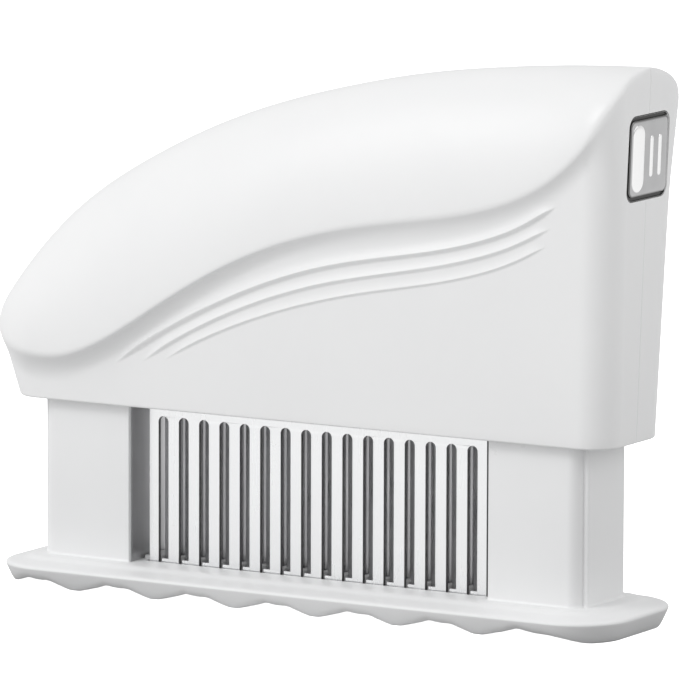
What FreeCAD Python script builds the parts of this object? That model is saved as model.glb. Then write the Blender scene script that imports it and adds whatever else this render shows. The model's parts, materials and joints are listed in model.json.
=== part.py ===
import FreeCAD, Part
import math, os
from FreeCAD import Vector, Rotation, Placement

os.makedirs("parts", exist_ok=True)

# ---------------------------------------------------------------------------
# Blade meat tenderizer with 48 blades in three rows.
# Frame: +X to the end with the badge, +Y to the rear, +Z up.
# All dimensions are in millimetres.  Shapes are drawn with X = 0 at the middle
# of the blade rows, and moved by X_SHIFT so that the origin lies under the
# middle of the whole object.
# ---------------------------------------------------------------------------
X_SHIFT = 1.22            # from the middle of the blade rows to the middle of the object

# blades
PITCH = 5.2               # blade to blade along X
N_BLADES = 16
BLADE_W = 2.6
BLADE_T = 1.0
ROW_Y = (-3.2, 0.0, 3.2)
BLADE_TIP_Z = 3.4          # inside the foot while the handle is up
STROKE = 20.0             # travel of the handle

# foot
FOOT_A = 77.7             # half length
FOOT_B = 19.8             # half width
FOOT_R = 12.6             # plan corner radius
FOOT_X = 0.4              # X of the foot's middle
FOOT_TOP = 6.3
PLATEAU = 7.15            # top of the raised middle that the blades pass through
WAVE_PERIOD = 20.39
WAVE_PHASE = 6.0          # X of one lobe
# height of a notch between two lobes, against the length from a lobe's middle
WAVE = [(0.8, 0.0), (2.0, 0.22), (3.2, 0.50), (4.5, 0.86), (5.7, 1.17), (7.0, 1.56), (8.2, 1.94), (9.0, 2.05),
        (10.0, 1.93), (11.3, 1.79), (12.6, 1.75), (13.7, 1.78), (14.6, 1.64), (15.8, 1.22), (17.0, 0.78),
        (18.3, 0.34), (19.1, 0.10), (19.6, 0.0)]
# the last notch, at the right end, is longer
WAVE_END = [(0.8, 0.0), (2.0, 0.22), (3.2, 0.50), (4.5, 0.86), (5.7, 1.10), (6.9, 1.44), (8.1, 1.80), (9.4, 2.18),
            (10.4, 2.32), (11.6, 2.12), (12.8, 1.90), (14.3, 1.70), (15.7, 1.62), (17.2, 1.56), (18.6, 1.43),
            (20.0, 1.23), (21.3, 0.98), (22.6, 0.70), (23.8, 0.42), (25.0, 0.18), (26.2, 0.03), (26.8, 0.0)]

# legs
LEG_XI = 45.3             # inner face
LEG_XO = 67.2             # outer face, without its rib
LEG_RIB = 1.2             # rib height
LEG_RIB_Y = 8.15          # rib half width
LEG_Y = 10.8              # half width
LEG_R = 2.6               # outer corner radius
LEG_TOP = 46.8
LEG_C = 56.85             # X of the spring's axis
COL_POS = ((50.4, 6.3), (63.3, -6.3))   # screw columns inside a leg
COL_R = 2.1

# guard plates
GUARD_Y = 6.5             # outer face
GUARD_T = 1.0
GUARD_X = 42.6
GUARD_TOP = 49.3
GUARD_BOT = 3.9
SLOT_W = 2.5
SLOT_TOP = 37.4           # centre of the round top
SLOT_BOT = 6.15           # below this only a narrow gap stays open
CHEEK_T = 0.5             # cheek plates lie flush in the inner faces of the legs
CHEEK_Y = 9.9

# guide frame
FRAME_Z0 = LEG_TOP
FRAME_Z1 = 49.3
FRAME_X = 66.5
FRAME_Y = 9.3

# springs and posts
SPRING_R = 5.6
WIRE_R = 0.65
SPRING_Z0 = 9.5
SPRING_Z1 = 52.0
NECK_Z = {-1: 71.0, 1: 76.0}   # the post's neck is lower at the low end

# housing
RIM_Z = 41.3
FLOOR_Z0 = 43.5
FLOOR_Z1 = 46.5
WALL = 2.4
HW0 = 13.65               # half width at the rim
LEAN = 0.036              # outward draft of sides and right end
XR0 = 75.45
XL0 = -74.7
LEAN_L = 0.324            # outward slope of the left end
CORNER = 7.0
YC = 17.9                 # half width of the palm swell at its crease
XLC = -80.8
XRC = 78.3
RLC = 14.0
RRC = 7.0
COVE = 6.5
COVE_R = 20.0             # the cove is that much taller round the right corners

# heights of the crease, against the length along its plan outline
CREASE = [(0.0, 57.6), (8.2, 57.1), (14.4, 55.5), (20.5, 53.1), (26.6, 51.74), (34.6, 52.07),
          (44.6, 55.92), (58.6, 64.43), (76.6, 74.87), (98.6, 83.22), (120.6, 87.77),
          (140.6, 91.66), (152.6, 96.5), (160.6, 102.3), (166.6, 108.8), (171.6, 114.7),
          (178.6, 118.8), (185.9, 119.8)]
# heights of the ridge of the palm swell, against X
RIDGE = [(-79.9, 60.4), (-77.9, 63.7), (-76, 67.05), (-71, 74.9), (-64, 82.5), (-54, 90.0),
         (-42, 96.9), (-28, 103.55), (-12, 109.35), (6, 114.2), (24, 117.85), (42, 120.15),
         (58, 121.5), (70, 122.05), (78.0, 122.2)]
RX0, RX1 = -79.9, 78.0


def v(x, y, z):
    return Vector(x, y, z)


# --- cubic spline through a table, with given or natural end slopes ------------
def spline(table, s0=None, s1=None):
    xs = [float(a) for a, b in table]
    ys = [float(b) for a, b in table]
    n = len(xs)
    h = [xs[i + 1] - xs[i] for i in range(n - 1)]
    d = [(ys[i + 1] - ys[i]) / h[i] for i in range(n - 1)]
    lo, di, up, rh = [0.0] * n, [1.0] * n, [0.0] * n, [0.0] * n
    if s0 is None:
        di[0], up[0], rh[0] = 2.0, 1.0, 3 * d[0]
    else:
        rh[0] = s0
    if s1 is None:
        lo[-1], di[-1], rh[-1] = 1.0, 2.0, 3 * d[-1]
    else:
        rh[-1] = s1
    for i in range(1, n - 1):
        lo[i], di[i], up[i] = h[i], 2 * (h[i - 1] + h[i]), h[i - 1]
        rh[i] = 3 * (h[i] * d[i - 1] + h[i - 1] * d[i])
    for i in range(1, n):
        w = lo[i] / di[i - 1]
        di[i] -= w * up[i - 1]
        rh[i] -= w * rh[i - 1]
    m = [0.0] * n
    m[-1] = rh[-1] / di[-1]
    for i in range(n - 2, -1, -1):
        m[i] = (rh[i] - up[i] * m[i + 1]) / di[i]

    def f(x):
        x = min(max(x, xs[0]), xs[-1])
        i = 0
        while i < n - 2 and x > xs[i + 1]:
            i += 1
        t = (x - xs[i]) / h[i]
        return (ys[i] * (1 + 2 * t) * (1 - t) ** 2 + m[i] * h[i] * t * (1 - t) ** 2
                + ys[i + 1] * t * t * (3 - 2 * t) + m[i + 1] * h[i] * t * t * (t - 1))
    return f


crease_z = spline(CREASE, 0.0, 0.0)
ridge_z = spline(RIDGE)


def outline(s, hw, xl, xr, rl, rr):
    """Half plan outline.  s runs 0..5: left end, left corner, side, right
    corner, right end.  Returns x, y and the length along it."""
    l0, l1 = hw - rl, rl * math.pi / 2
    l2, l3, l4 = xr - rr - (xl + rl), rr * math.pi / 2, hw - rr
    if s <= 1:
        return xl, -l0 * s, l0 * s
    if s <= 2:
        a = (s - 1) * math.pi / 2
        return xl + rl - rl * math.cos(a), -l0 - rl * math.sin(a), l0 + rl * a
    if s <= 3:
        return xl + rl + l2 * (s - 2), -hw, l0 + l1 + l2 * (s - 2)
    if s <= 4:
        a = (s - 3) * math.pi / 2
        return (xr - rr + rr * math.sin(a), -l4 - rr * math.cos(a),
                l0 + l1 + l2 + rr * a)
    return xr, -l4 * (5 - s), l0 + l1 + l2 + l3 + l4 * (s - 4)


def smooth(t):
    t = min(max(t, 0.0), 1.0)
    return t * t * (3 - 2 * t)


def ridge_x(s):
    """X of the ridge point that belongs to the outline point s."""
    d = outline(s, YC, XLC, XRC, RLC, RRC)[2]
    da = outline(2.0, YC, XLC, XRC, RLC, RRC)[2]
    db = outline(3.0, YC, XLC, XRC, RLC, RRC)[2]
    dc = outline(5.0, YC, XLC, XRC, RLC, RRC)[2]
    xa, xb = -67.5, 69.0
    if d <= da:
        q = d / da
        return RX0 + (xa - RX0) * (0.24 * q + 0.76 * q * q)
    if d <= db:
        return xa + (xb - xa) * (d - da) / (db - da)
    q = (dc - d) / (dc - db)
    return RX1 - (RX1 - xb) * (0.18 * q + 0.82 * q * q)


def crease_pt(s, off):
    """The inner wall's crease lies higher than the outer one along the sides,
    so that the wall keeps its thickness through the cove, and lower at the
    end face."""
    cx, cy, d = outline(s, YC - off, XLC + off * 1.25, XRC - off, RLC - off * 0.7, RRC - off * 0.7)
    dd = outline(s, YC, XLC, XRC, RLC, RRC)[2]
    w = smooth((s - 2.78) / 0.8)
    z = crease_z(dd) + off * (0.9 * (1 - w) * smooth(s / 1.5) - 1.2 * w)
    return cx, cy, z


def cove(s):
    return COVE + COVE_R * smooth((s - 3.1) / 0.6) * smooth((4.45 - s) / 0.4)


def wall_pt(s, t, off, z0):
    cx, cy, cz = crease_pt(s, off)
    z = z0 + (cz - z0) * t
    dz = z - RIM_Z
    hw = HW0 + LEAN * dz - off
    xr = XR0 + LEAN * dz - off
    xl = XL0 - LEAN_L * dz + off * 1.07
    wx, wy, _ = outline(s, hw, xl, xr, CORNER - off * 0.6, CORNER - off * 0.6)
    cv = cove(s)
    q = min(max((z - (cz - cv)) / cv, 0.0), 1.0)
    g = q ** 2.3
    return v(wx + (cx - wx) * g, wy + (cy - wy) * g, z)


def crown_pt(s, th, off):
    cx, cy, cz = crease_pt(s, off)
    rx = ridge_x(s)
    e = 0.05
    m = (ridge_z(min(rx + e, RX1)) - ridge_z(max(rx - e, RX0))) / (2 * e)
    k = math.sqrt(1 + m * m)
    rz = ridge_z(rx) - off * k
    if off:
        span = RX1 - RX0
        rx = RX0 + 1.6 * off + (rx - RX0) * (span - 2.5 * off) / span
        rz = min(rz, ridge_z(rx) - off * k)
    rz = max(rz, cz + 0.35)
    c, sn = math.cos(th), math.sin(th)
    return v(cx + (rx - cx) * (1 - c), cy * c, cz + (rz - cz) * sn)


# --- interpolating B-spline surface with shared parameters --------------------
def knots_for(u, p=3):
    n = len(u) - 1
    k = [u[0]] * (p + 1)
    for j in range(1, n - p + 1):
        k.append(sum(u[j:j + p]) / p)
    return k + [u[-1]] * (p + 1)


def basis(i, p, x, k, last):
    if p == 0:
        if k[i] <= x < k[i + 1]:
            return 1.0
        if x == last and k[i] < k[i + 1] == last:
            return 1.0
        return 0.0
    a = 0.0
    if k[i + p] > k[i]:
        a = (x - k[i]) / (k[i + p] - k[i]) * basis(i, p - 1, x, k, last)
    b = 0.0
    if k[i + p + 1] > k[i + 1]:
        b = (k[i + p + 1] - x) / (k[i + p + 1] - k[i + 1]) * basis(i + 1, p - 1, x, k, last)
    return a + b


def solve(mat, rhs):
    n = len(mat)
    a = [row[:] + list(r) for row, r in zip(mat, rhs)]
    w = len(a[0])
    for c in range(n):
        p = max(range(c, n), key=lambda r: abs(a[r][c]))
        a[c], a[p] = a[p], a[c]
        d = a[c][c]
        for r in range(c + 1, n):
            if a[r][c]:
                f = a[r][c] / d
                for q in range(c, w):
                    a[r][q] -= f * a[c][q]
    out = [None] * n
    for c in range(n - 1, -1, -1):
        row = a[c][n:]
        for q in range(c + 1, n):
            if a[c][q]:
                row = [x - a[c][q] * y for x, y in zip(row, out[q])]
        out[c] = [x / a[c][c] for x in row]
    return out


def surface(grid, us, vs):
    """grid[i][j] is the point at us[i], vs[j]."""
    ku, kv = knots_for(us), knots_for(vs)
    mu = [[basis(j, 3, x, ku, us[-1]) for j in range(len(us))] for x in us]
    mv = [[basis(j, 3, x, kv, vs[-1]) for j in range(len(vs))] for x in vs]
    rhs = [[c for p in row for c in (p.x, p.y, p.z)] for row in grid]
    first = solve(mu, rhs)
    poles = []
    for row in first:
        pts = [row[3 * j:3 * j + 3] for j in range(len(vs))]
        poles.append([v(*q) for q in solve(mv, pts)])

    def pack(k):
        vals, mult = [], []
        for x in k:
            if vals and abs(vals[-1] - x) < 1e-12:
                mult[-1] += 1
            else:
                vals.append(x)
                mult.append(1)
        return vals, mult
    uk, um = pack(ku)
    vk, vm = pack(kv)
    s = Part.BSplineSurface()
    s.buildFromPolesMultsKnots(poles, um, vm, uk, vk, False, False, 3, 3)
    return s


S_PTS = ([0, 0.35, 0.7, 1.0] + [1.2, 1.4, 1.6, 1.8, 2.0]
         + [2.02, 2.05, 2.09] + [2.13 + 0.0445 * i for i in range(19)]
         + [2.97, 3.0] + [3.15, 3.35, 3.55, 3.75, 4.0] + [4.3, 4.65, 5.0])
S_PAR = [crease_pt(s, 0.0) for s in S_PTS]
_d = [0.0]
for _i in range(1, len(S_PTS)):
    _d.append(outline(S_PTS[_i], YC, XLC, XRC, RLC, RRC)[2])
S_PAR = _d


def half_solid(off, z0):
    tw = [0.0, 0.16, 0.32, 0.46, 0.59, 0.71, 0.82, 0.915, 1.0]
    # levels crowd smoothly into the cove below the crease
    def lev(s, t):
        h = crease_pt(s, off)[2] - z0
        m = 0.12 + 0.88 * smooth((cove(s) / h - 0.08) / 0.6)
        return 1 - (1 - t) * (m + (1 - m) * (1 - t) ** 2)
    wall = [[wall_pt(s, lev(s, t), off, z0) for t in tw] for s in S_PTS]
    tc = [math.pi / 2 * a for a in (0, 0.1, 0.22, 0.36, 0.5, 0.64, 0.78, 0.9, 1.0)]
    crown = [[crown_pt(s, th, off) for th in tc] for s in S_PTS]
    for row in (wall, crown):
        for end in (0, -1):
            for j, p in enumerate(row[end]):
                row[end][j] = v(p.x, 0.0, p.z)
    for r in crown:
        r[-1] = v(r[-1].x, 0.0, r[-1].z)
    sw = surface(wall, S_PAR, tw)
    sc = surface(crown, S_PAR, tc)
    fw, fc = sw.toShape(), sc.toShape()
    # boundary edges
    u0, u1 = S_PAR[0], S_PAR[-1]
    bot = sw.vIso(tw[0]).toShape()
    wl, wr = sw.uIso(u0).toShape(), sw.uIso(u1).toShape()
    cl, cr = sc.uIso(u0).toShape(), sc.uIso(u1).toShape()
    rid = sc.vIso(tc[-1]).toShape()
    a, b = wall[0][0], wall[-1][0]
    close = Part.makeLine(a, b)
    fb = Part.Face(Part.Wire(Part.__sortEdges__([bot, close])))
    fm = Part.Face(Part.Wire(Part.__sortEdges__([wl, cl, rid, cr, wr, Part.makeLine(a, b)])))
    sh = Part.makeShell([fw, fc, fb, fm])
    sh.sewShape(1e-4)
    if sh.ShapeType != "Shell":
        sh = sh.Shells[0]
    so = Part.makeSolid(sh)
    if so.Volume < 0:
        so.reverse()
    return so


def box(x0, x1, y0, y1, z0, z1):
    return Part.makeBox(x1 - x0, y1 - y0, z1 - z0, v(x0, y0, z0))


def cyl(x, y, z, r, h, d=None):
    return Part.makeCylinder(r, h, v(x, y, z), d or v(0, 0, 1))


def rounded_wire(a, b, r, z, cx=0.0):
    """Rounded rectangle, half sizes a and b, centred on cx."""
    k = r * (1 - math.sqrt(0.5))
    e = []
    cs = ((a, b), (-a, b), (-a, -b), (a, -b))
    pts = [(cx + a, b - r), (cx + a - k, b - k), (cx + a - r, b),
           (cx - a + r, b), (cx - a + k, b - k), (cx - a, b - r),
           (cx - a, -b + r), (cx - a + k, -b + k), (cx - a + r, -b),
           (cx + a - r, -b), (cx + a - k, -b + k), (cx + a, -b + r)]
    p = [v(x, y, z) for x, y in pts]
    for i in range(4):
        e.append(Part.Arc(p[3 * i], p[3 * i + 1], p[3 * i + 2]).toShape())
        e.append(Part.makeLine(p[3 * i + 2], p[(3 * i + 3) % 12]))
    return Part.Wire(e)


def prism(a, b, r, z0, z1, cx=0.0):
    return Part.Face(rounded_wire(a, b, r, z0, cx)).extrude(v(0, 0, z1 - z0))


def mirror_y(s):
    return s.mirror(v(0, 0, 0), v(0, 1, 0))


def mirror_x(s):
    return s.mirror(v(0, 0, 0), v(1, 0, 0))


def compound(shapes):
    return Part.makeCompound(shapes)


NODES = {}


def add(name, shape):
    shape = shape.copy()
    shape.translate(v(X_SHIFT, 0, 0))
    NODES[name] = shape


def solids(shape):
    s = shape.Solids
    return s[0] if len(s) == 1 else Part.makeCompound(s)


# ---------------------------------------------------------------------------
# Foot
# ---------------------------------------------------------------------------
levels = [(0.0, 1.9), (4.35, 0.0), (4.8, 0.35), (5.5, 4.0), (6.1, 7.6), (6.3, 9.0)]
foot = Part.makeLoft([rounded_wire(FOOT_A - i, FOOT_B - i, FOOT_R - i, z, FOOT_X) for z, i in levels],
                     True, True)
foot = foot.fuse(box(-44.7, 44.7, -5.4, 5.4, 5.8, PLATEAU))
waves = []
for k in range(-4, 3):
    x0 = WAVE_PHASE + WAVE_PERIOD * k
    pts = [v(x0 + q, -30, w) for q, w in (WAVE_END if k == 2 else WAVE)]
    c = Part.BSplineCurve()
    c.interpolate(Points=pts, InitialTangent=v(1, 0, 0), FinalTangent=v(1, 0, 0))
    e0, e1 = pts[0], pts[-1]
    w = Part.Wire([c.toShape(), Part.makeLine(e1, v(e1.x, -30, -1)),
                   Part.makeLine(v(e1.x, -30, -1), v(e0.x, -30, -1)), Part.makeLine(v(e0.x, -30, -1), e0)])
    waves.append(Part.Face(w).extrude(v(0, 60, 0)))
cuts = []
for yr in ROW_Y:
    for k in range(N_BLADES):
        xc = (k - 7.5) * PITCH
        cuts.append(box(xc - BLADE_W / 2 - 0.3, xc + BLADE_W / 2 + 0.3,
                        yr - BLADE_T / 2 - 0.3, yr + BLADE_T / 2 + 0.3, -1, 8))
for k in range(N_BLADES):                # cross slots in the raised middle
    xc = (k - 7.5) * PITCH
    cuts.append(box(xc - BLADE_W / 2 - 0.3, xc + BLADE_W / 2 + 0.3, -5.5, 5.5, 5.0, 8))
for sg in (-1, 1):
    y0, y1 = sorted((sg * (GUARD_Y - GUARD_T - 0.05), sg * (GUARD_Y + 0.05)))
    cuts.append(box(-LEG_XI + CHEEK_T, LEG_XI - CHEEK_T, y0, y1, GUARD_BOT - 0.1, 8))
    y0, y1 = sorted((sg * GUARD_Y, sg * (GUARD_Y + 0.6)))        # relief in front of the comb
    cuts.append(box(-43.3, 43.3, y0, y1, 5.3, 8))
    x0, x1 = sorted((sg * (LEG_XI - 0.05), sg * (LEG_XI + CHEEK_T + 0.05)))
    cuts.append(box(x0, x1, -CHEEK_Y - 0.05, CHEEK_Y + 0.05, 4.2, 8))
    for cx, cy in COL_POS:
        cuts.append(cyl(sg * cx, cy, -1, 1.25, 9))
        cuts.append(cyl(sg * cx, cy, -1, 2.4, 5.0))
foot = foot.cut(compound(waves)).cut(compound(cuts))
add("base_plate", solids(foot))

# ---------------------------------------------------------------------------
# Legs: hollow posts with a rib on the outer face and two screw columns
# ---------------------------------------------------------------------------
def leg_right():
    p = [(LEG_XI, -LEG_Y), (LEG_XO - LEG_R, -LEG_Y), (LEG_XO, -LEG_Y + LEG_R),
         (LEG_XO, LEG_Y - LEG_R), (LEG_XO - LEG_R, LEG_Y), (LEG_XI, LEG_Y)]
    q = [v(x, y, FOOT_TOP) for x, y in p]
    kk = LEG_R * (1 - math.sqrt(0.5))
    w = Part.Wire([Part.makeLine(q[0], q[1]),
                   Part.Arc(q[1], v(LEG_XO - kk, -LEG_Y + kk, FOOT_TOP), q[2]).toShape(),
                   Part.makeLine(q[2], q[3]),
                   Part.Arc(q[3], v(LEG_XO - kk, LEG_Y - kk, FOOT_TOP), q[4]).toShape(),
                   Part.makeLine(q[4], q[5]), Part.makeLine(q[5], q[0])])
    s = Part.Face(w).extrude(v(0, 0, LEG_TOP - FOOT_TOP))
    s = s.fuse(box(LEG_XO - 1, LEG_XO + LEG_RIB, -LEG_RIB_Y, LEG_RIB_Y, FOOT_TOP, LEG_TOP))
    cav = prism(8.8, 8.6, 1.5, SPRING_Z0, LEG_TOP + 1, 56.4)
    for cx, cy in COL_POS:
        blk = cyl(cx, cy, SPRING_Z0 - 1, COL_R, LEG_TOP + 3)
        sgn = 1 if cy > 0 else -1
        web = box(cx - 1.0, cx + 1.0, *sorted((cy, sgn * 10)), SPRING_Z0 - 1, LEG_TOP + 3)
        cav = cav.cut(blk).cut(web)
    s = s.cut(cav)
    s = s.cut(box(LEG_XI - 1, LEG_XI + CHEEK_T + 0.02, -CHEEK_Y - 0.05, CHEEK_Y + 0.05, 0, LEG_TOP + 1))
    for cx, cy in COL_POS:
        s = s.cut(cyl(cx, cy, FOOT_TOP - 1, 1.25, 12)).cut(cyl(cx, cy, 38.0, 1.15, 12))
    return s.removeSplitter()


leg = leg_right()
add("right_leg", solids(leg))
ll = mirror_x(leg)
add("left_leg", solids(ll))

# ---------------------------------------------------------------------------
# Guard plates: steel combs standing in grooves of the foot
# ---------------------------------------------------------------------------
def guard(sg):
    y0, y1 = sorted((sg * (GUARD_Y - GUARD_T), sg * GUARD_Y))
    p = box(-GUARD_X, GUARD_X, y0, y1, GUARD_BOT, GUARD_TOP)
    sl = []
    for k in range(N_BLADES):
        xc = (k - 7.5) * PITCH
        sl.append(box(xc - SLOT_W / 2, xc + SLOT_W / 2, y0 - 1, y1 + 1, SLOT_BOT, SLOT_TOP))
        sl.append(box(xc - SLOT_W / 2, xc - SLOT_W / 2 + 0.9, y0 - 1, y1 + 1, 0, SLOT_BOT + 0.1))
        sl.append(cyl(xc, y0 - 1, SLOT_TOP, SLOT_W / 2, y1 - y0 + 2, v(0, 1, 0)))
    p = p.cut(compound(sl))
    for x in (-28.6, 0.0, 28.6):
        p = p.cut(cyl(x, y0 - 1, 48.05, 0.8, y1 - y0 + 2, v(0, 1, 0)))
    return p


add("front_guard_plate", solids(guard(-1)))
add("rear_guard_plate", solids(guard(1)))

for nm, sg in (("left_cheek_plate", -1), ("right_cheek_plate", 1)):
    x0, x1 = sorted((sg * LEG_XI, sg * (LEG_XI + CHEEK_T)))
    add(nm, box(x0, x1, -CHEEK_Y, CHEEK_Y, 4.3, LEG_TOP))

# ---------------------------------------------------------------------------
# Guide frame: ties leg tops and guard plates, carries the lift stop
# ---------------------------------------------------------------------------
fr = prism(FRAME_X, FRAME_Y, 2.5, FRAME_Z0, FRAME_Z1)
fr = fr.cut(box(-GUARD_X - 0.9, GUARD_X + 0.9, -GUARD_Y, GUARD_Y, 40, 60))
for sg in (-1, 1):
    fr = fr.cut(cyl(sg * LEG_C, 0, 40, 7.1, 20))
    for cx, cy in COL_POS:
        fr = fr.cut(cyl(sg * cx, cy, 40, 1.15, 20))
    for x in (-28.6, 0.0, 28.6):
        y0, y1 = sorted((sg * 5.0, sg * 12.0))
        fr = fr.cut(cyl(x, y0, 48.05, 0.8, y1 - y0, v(0, 1, 0)))
add("guide_frame", solids(fr))

fs, ls = [], []
for sg in (-1, 1):
    for cx, cy in COL_POS:
        fs.append(cyl(sg * cx, cy, 39.5, 1.15, FRAME_Z1 - 39.5).fuse(
            cyl(sg * cx, cy, FRAME_Z1, 1.8, 1.1)).removeSplitter())
        ls.append(cyl(sg * cx, cy, 4.0, 1.2, 13.0).fuse(
            cyl(sg * cx, cy, 2.7, 2.2, 1.3)).removeSplitter())
add("frame_screws", compound(fs))
add("leg_screws", compound(ls))
rv = []
for sg in (-1, 1):
    for x in (-28.6, 0.0, 28.6):
        y0, y1 = sorted((sg * (GUARD_Y - GUARD_T), sg * FRAME_Y))
        body = cyl(x, y0, 48.05, 0.8, y1 - y0, v(0, 1, 0))
        ya = y1 if sg > 0 else y0 - 0.5
        rv.append(body.fuse(cyl(x, ya, 48.05, 1.2, 0.5, v(0, 1, 0))).removeSplitter())
add("guard_rivets", compound(rv))

# ---------------------------------------------------------------------------
# Springs and spring posts
# ---------------------------------------------------------------------------
def spring(xc):
    z0, z1 = SPRING_Z0 + WIRE_R + 0.05, SPRING_Z1 - WIRE_R - 0.05
    h = Part.makeHelix((z1 - z0) / 8.5, z1 - z0, SPRING_R)
    h.translate(v(0, 0, z0))
    sec = Part.Wire(Part.makeCircle(WIRE_R, v(SPRING_R, 0, z0), v(0, 1, 0.138)))
    s = Part.Wire(h.Edges).makePipeShell([sec], True, True)
    s.translate(v(xc, 0, 0))
    return s


def post(xc, zn):
    """zn is the lower end of the neck that the housing holds."""
    s = cyl(xc, 0, 34.0, 3.75, 18.1)
    for z, r, hh in ((52.0, 6.5, 2.0), (54.0, 4.5, zn - 54.0), (zn, 3.5, 3.0), (zn + 3.0, 4.8, 2.0)):
        s = s.fuse(cyl(xc, 0, z, r, hh))
    return s.removeSplitter()


for nm, sg in (("left", -1), ("right", 1)):
    add(nm + "_spring", spring(sg * LEG_C))
    add(nm + "_spring_post", solids(post(sg * LEG_C, NECK_Z[sg])))

# ---------------------------------------------------------------------------
# Blades, their carrier and its clamp plate
# ---------------------------------------------------------------------------
CAR_BOT, CAR_FL0, CAR_FL1 = 56.0, 74.0, 77.5
HEAD_W, HEAD_H = 4.4, 1.5


def blade(xc, yr):
    t = BLADE_T / 2
    w = BLADE_W / 2
    p = [(-w, BLADE_TIP_Z + 2.6), (w, BLADE_TIP_Z), (w, CAR_FL1 - HEAD_H), (HEAD_W / 2, CAR_FL1 - HEAD_H),
         (HEAD_W / 2, CAR_FL1), (-HEAD_W / 2, CAR_FL1), (-HEAD_W / 2, CAR_FL1 - HEAD_H), (-w, CAR_FL1 - HEAD_H)]
    q = [v(xc + x, yr - t, z) for x, z in p]
    f = Part.Face(Part.makePolygon(q + [q[0]]))
    s = f.extrude(v(0, BLADE_T, 0))
    # ground edge: both faces slope to the slanting cutting edge
    a, b = q[0], q[1]
    d = (b - a).normalize()
    n = v(-d.z, 0, d.x)
    if n.z < 0:
        n = n * -1
    for sy in (-1, 1):
        e0, e1 = a - d * 1.0, b + d * 1.0
        mid0 = v(e0.x, yr + sy * 0.04, e0.z) - n * 0.2
        mid1 = v(e1.x, yr + sy * 0.04, e1.z) - n * 0.2
        o0 = v(e0.x, yr + sy * (t + 0.05), e0.z) + n * 1.5
        o1 = v(e1.x, yr + sy * (t + 0.05), e1.z) + n * 1.5
        c0 = v(e0.x, yr + sy * (t + 0.05), e0.z) - n * 0.2
        c1 = v(e1.x, yr + sy * (t + 0.05), e1.z) - n * 0.2
        w0 = Part.makePolygon([mid0, o0, c0, mid0])
        wedge = Part.Face(w0).extrude(e1 - e0)
        s = s.cut(wedge)
    return s


rows = []
for nm, yr in zip(("front", "middle", "rear"), ROW_Y):
    bl = [blade((k - 7.5) * PITCH, yr) for k in range(N_BLADES)]
    bl = [solids(b) for b in bl]
    add(nm + "_blade_row", compound(bl))

car = box(-41.8, 41.8, -5.0, 5.0, CAR_BOT, CAR_FL0).fuse(
    box(-46.5, 46.5, -8.5, 8.5, CAR_FL0, CAR_FL1)).removeSplitter()
sl = []
for yr in ROW_Y:
    for k in range(N_BLADES):
        xc = (k - 7.5) * PITCH
        sl.append(box(xc - BLADE_W / 2, xc + BLADE_W / 2, yr - BLADE_T / 2, yr + BLADE_T / 2, 50, 80))
        sl.append(box(xc - HEAD_W / 2, xc + HEAD_W / 2, yr - BLADE_T / 2, yr + BLADE_T / 2,
                      CAR_FL1 - HEAD_H, 80))
car = car.cut(compound(sl))
SCR = ((-43.6, -2.8), (-43.6, 2.8), (43.6, -2.8), (43.6, 2.8))
for x, y in SCR:
    car = car.cut(cyl(x, y, 74.3, 1.1, 5))
add("blade_carrier", solids(car))
cp = prism(46.0, 5.4, 1.5, CAR_FL1, CAR_FL1 + 2.0)
cs = []
for x, y in SCR:
    cp = cp.cut(cyl(x, y, 70, 1.15, 20))
    cs.append(cyl(x, y, 74.4, 1.1, CAR_FL1 + 2.0 - 74.4).fuse(
        cyl(x, y, CAR_FL1 + 2.0, 2.1, 1.4)).removeSplitter())
add("blade_clamp_plate", solids(cp))
add("carrier_screws", compound(cs))

# ---------------------------------------------------------------------------
# Housing shells
# ---------------------------------------------------------------------------
outer = half_solid(0.0, RIM_Z)
middle = half_solid(WALL * 0.5, RIM_Z - 0.0)
inner = half_solid(WALL, RIM_Z - 3.0)
inner_b = inner

print("outer", outer.isValid(), round(outer.Volume), "middle", middle.isValid(), round(middle.Volume),
      "inner", inner.isValid(), round(inner.Volume))

BOSSES = ((-72.0, 50.5), (-46.5, 87.0), (-12.0, 96.0), (30.0, 104.0), (62.0, 108.0), (72.0, 60.0))

# floor with openings for legs, cheek plates and guard plates
floor = box(-90, 90, -30, 0, FLOOR_Z0, FLOOR_Z1)
floor = floor.cut(box(-44.5, 44.5, -7.0, 1, 40, 50))
for sg in (-1, 1):
    x0, x1 = sorted((sg * 44.4, sg * (LEG_XO + LEG_RIB + 0.35)))
    floor = floor.cut(box(x0, x1, -LEG_Y - 0.3, 1, 40, 50))
ribs = [floor]
# shelves that grip the flange of the blade carrier
ribs.append(box(-50, 50, -30, -6.4, CAR_FL0 - 2.0, CAR_FL0))
ribs.append(box(-50, 50, -30, -6.2, CAR_FL1, CAR_FL1 + 2.0))
# shelves that hold the necks of the spring posts
for sg in (-1, 1):
    b = box(sg * LEG_C - 7.5, sg * LEG_C + 7.5, -30, 0, NECK_Z[sg], NECK_Z[sg] + 3.0)
    ribs.append(b.cut(cyl(sg * LEG_C, 0, 65, 3.5, 25)))
# webs that stiffen the palm swell
for x in (-30.0, 10.0, 46.0):
    ribs.append(box(x - 0.9, x + 0.9, -30, -9.5, 79.5, 130))
body_ribs = ribs[0]
for r in ribs[1:]:
    body_ribs = body_ribs.fuse(r)
body_ribs = body_ribs.common(middle)

shell0 = outer.cut(inner).fuse(body_ribs)


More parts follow.
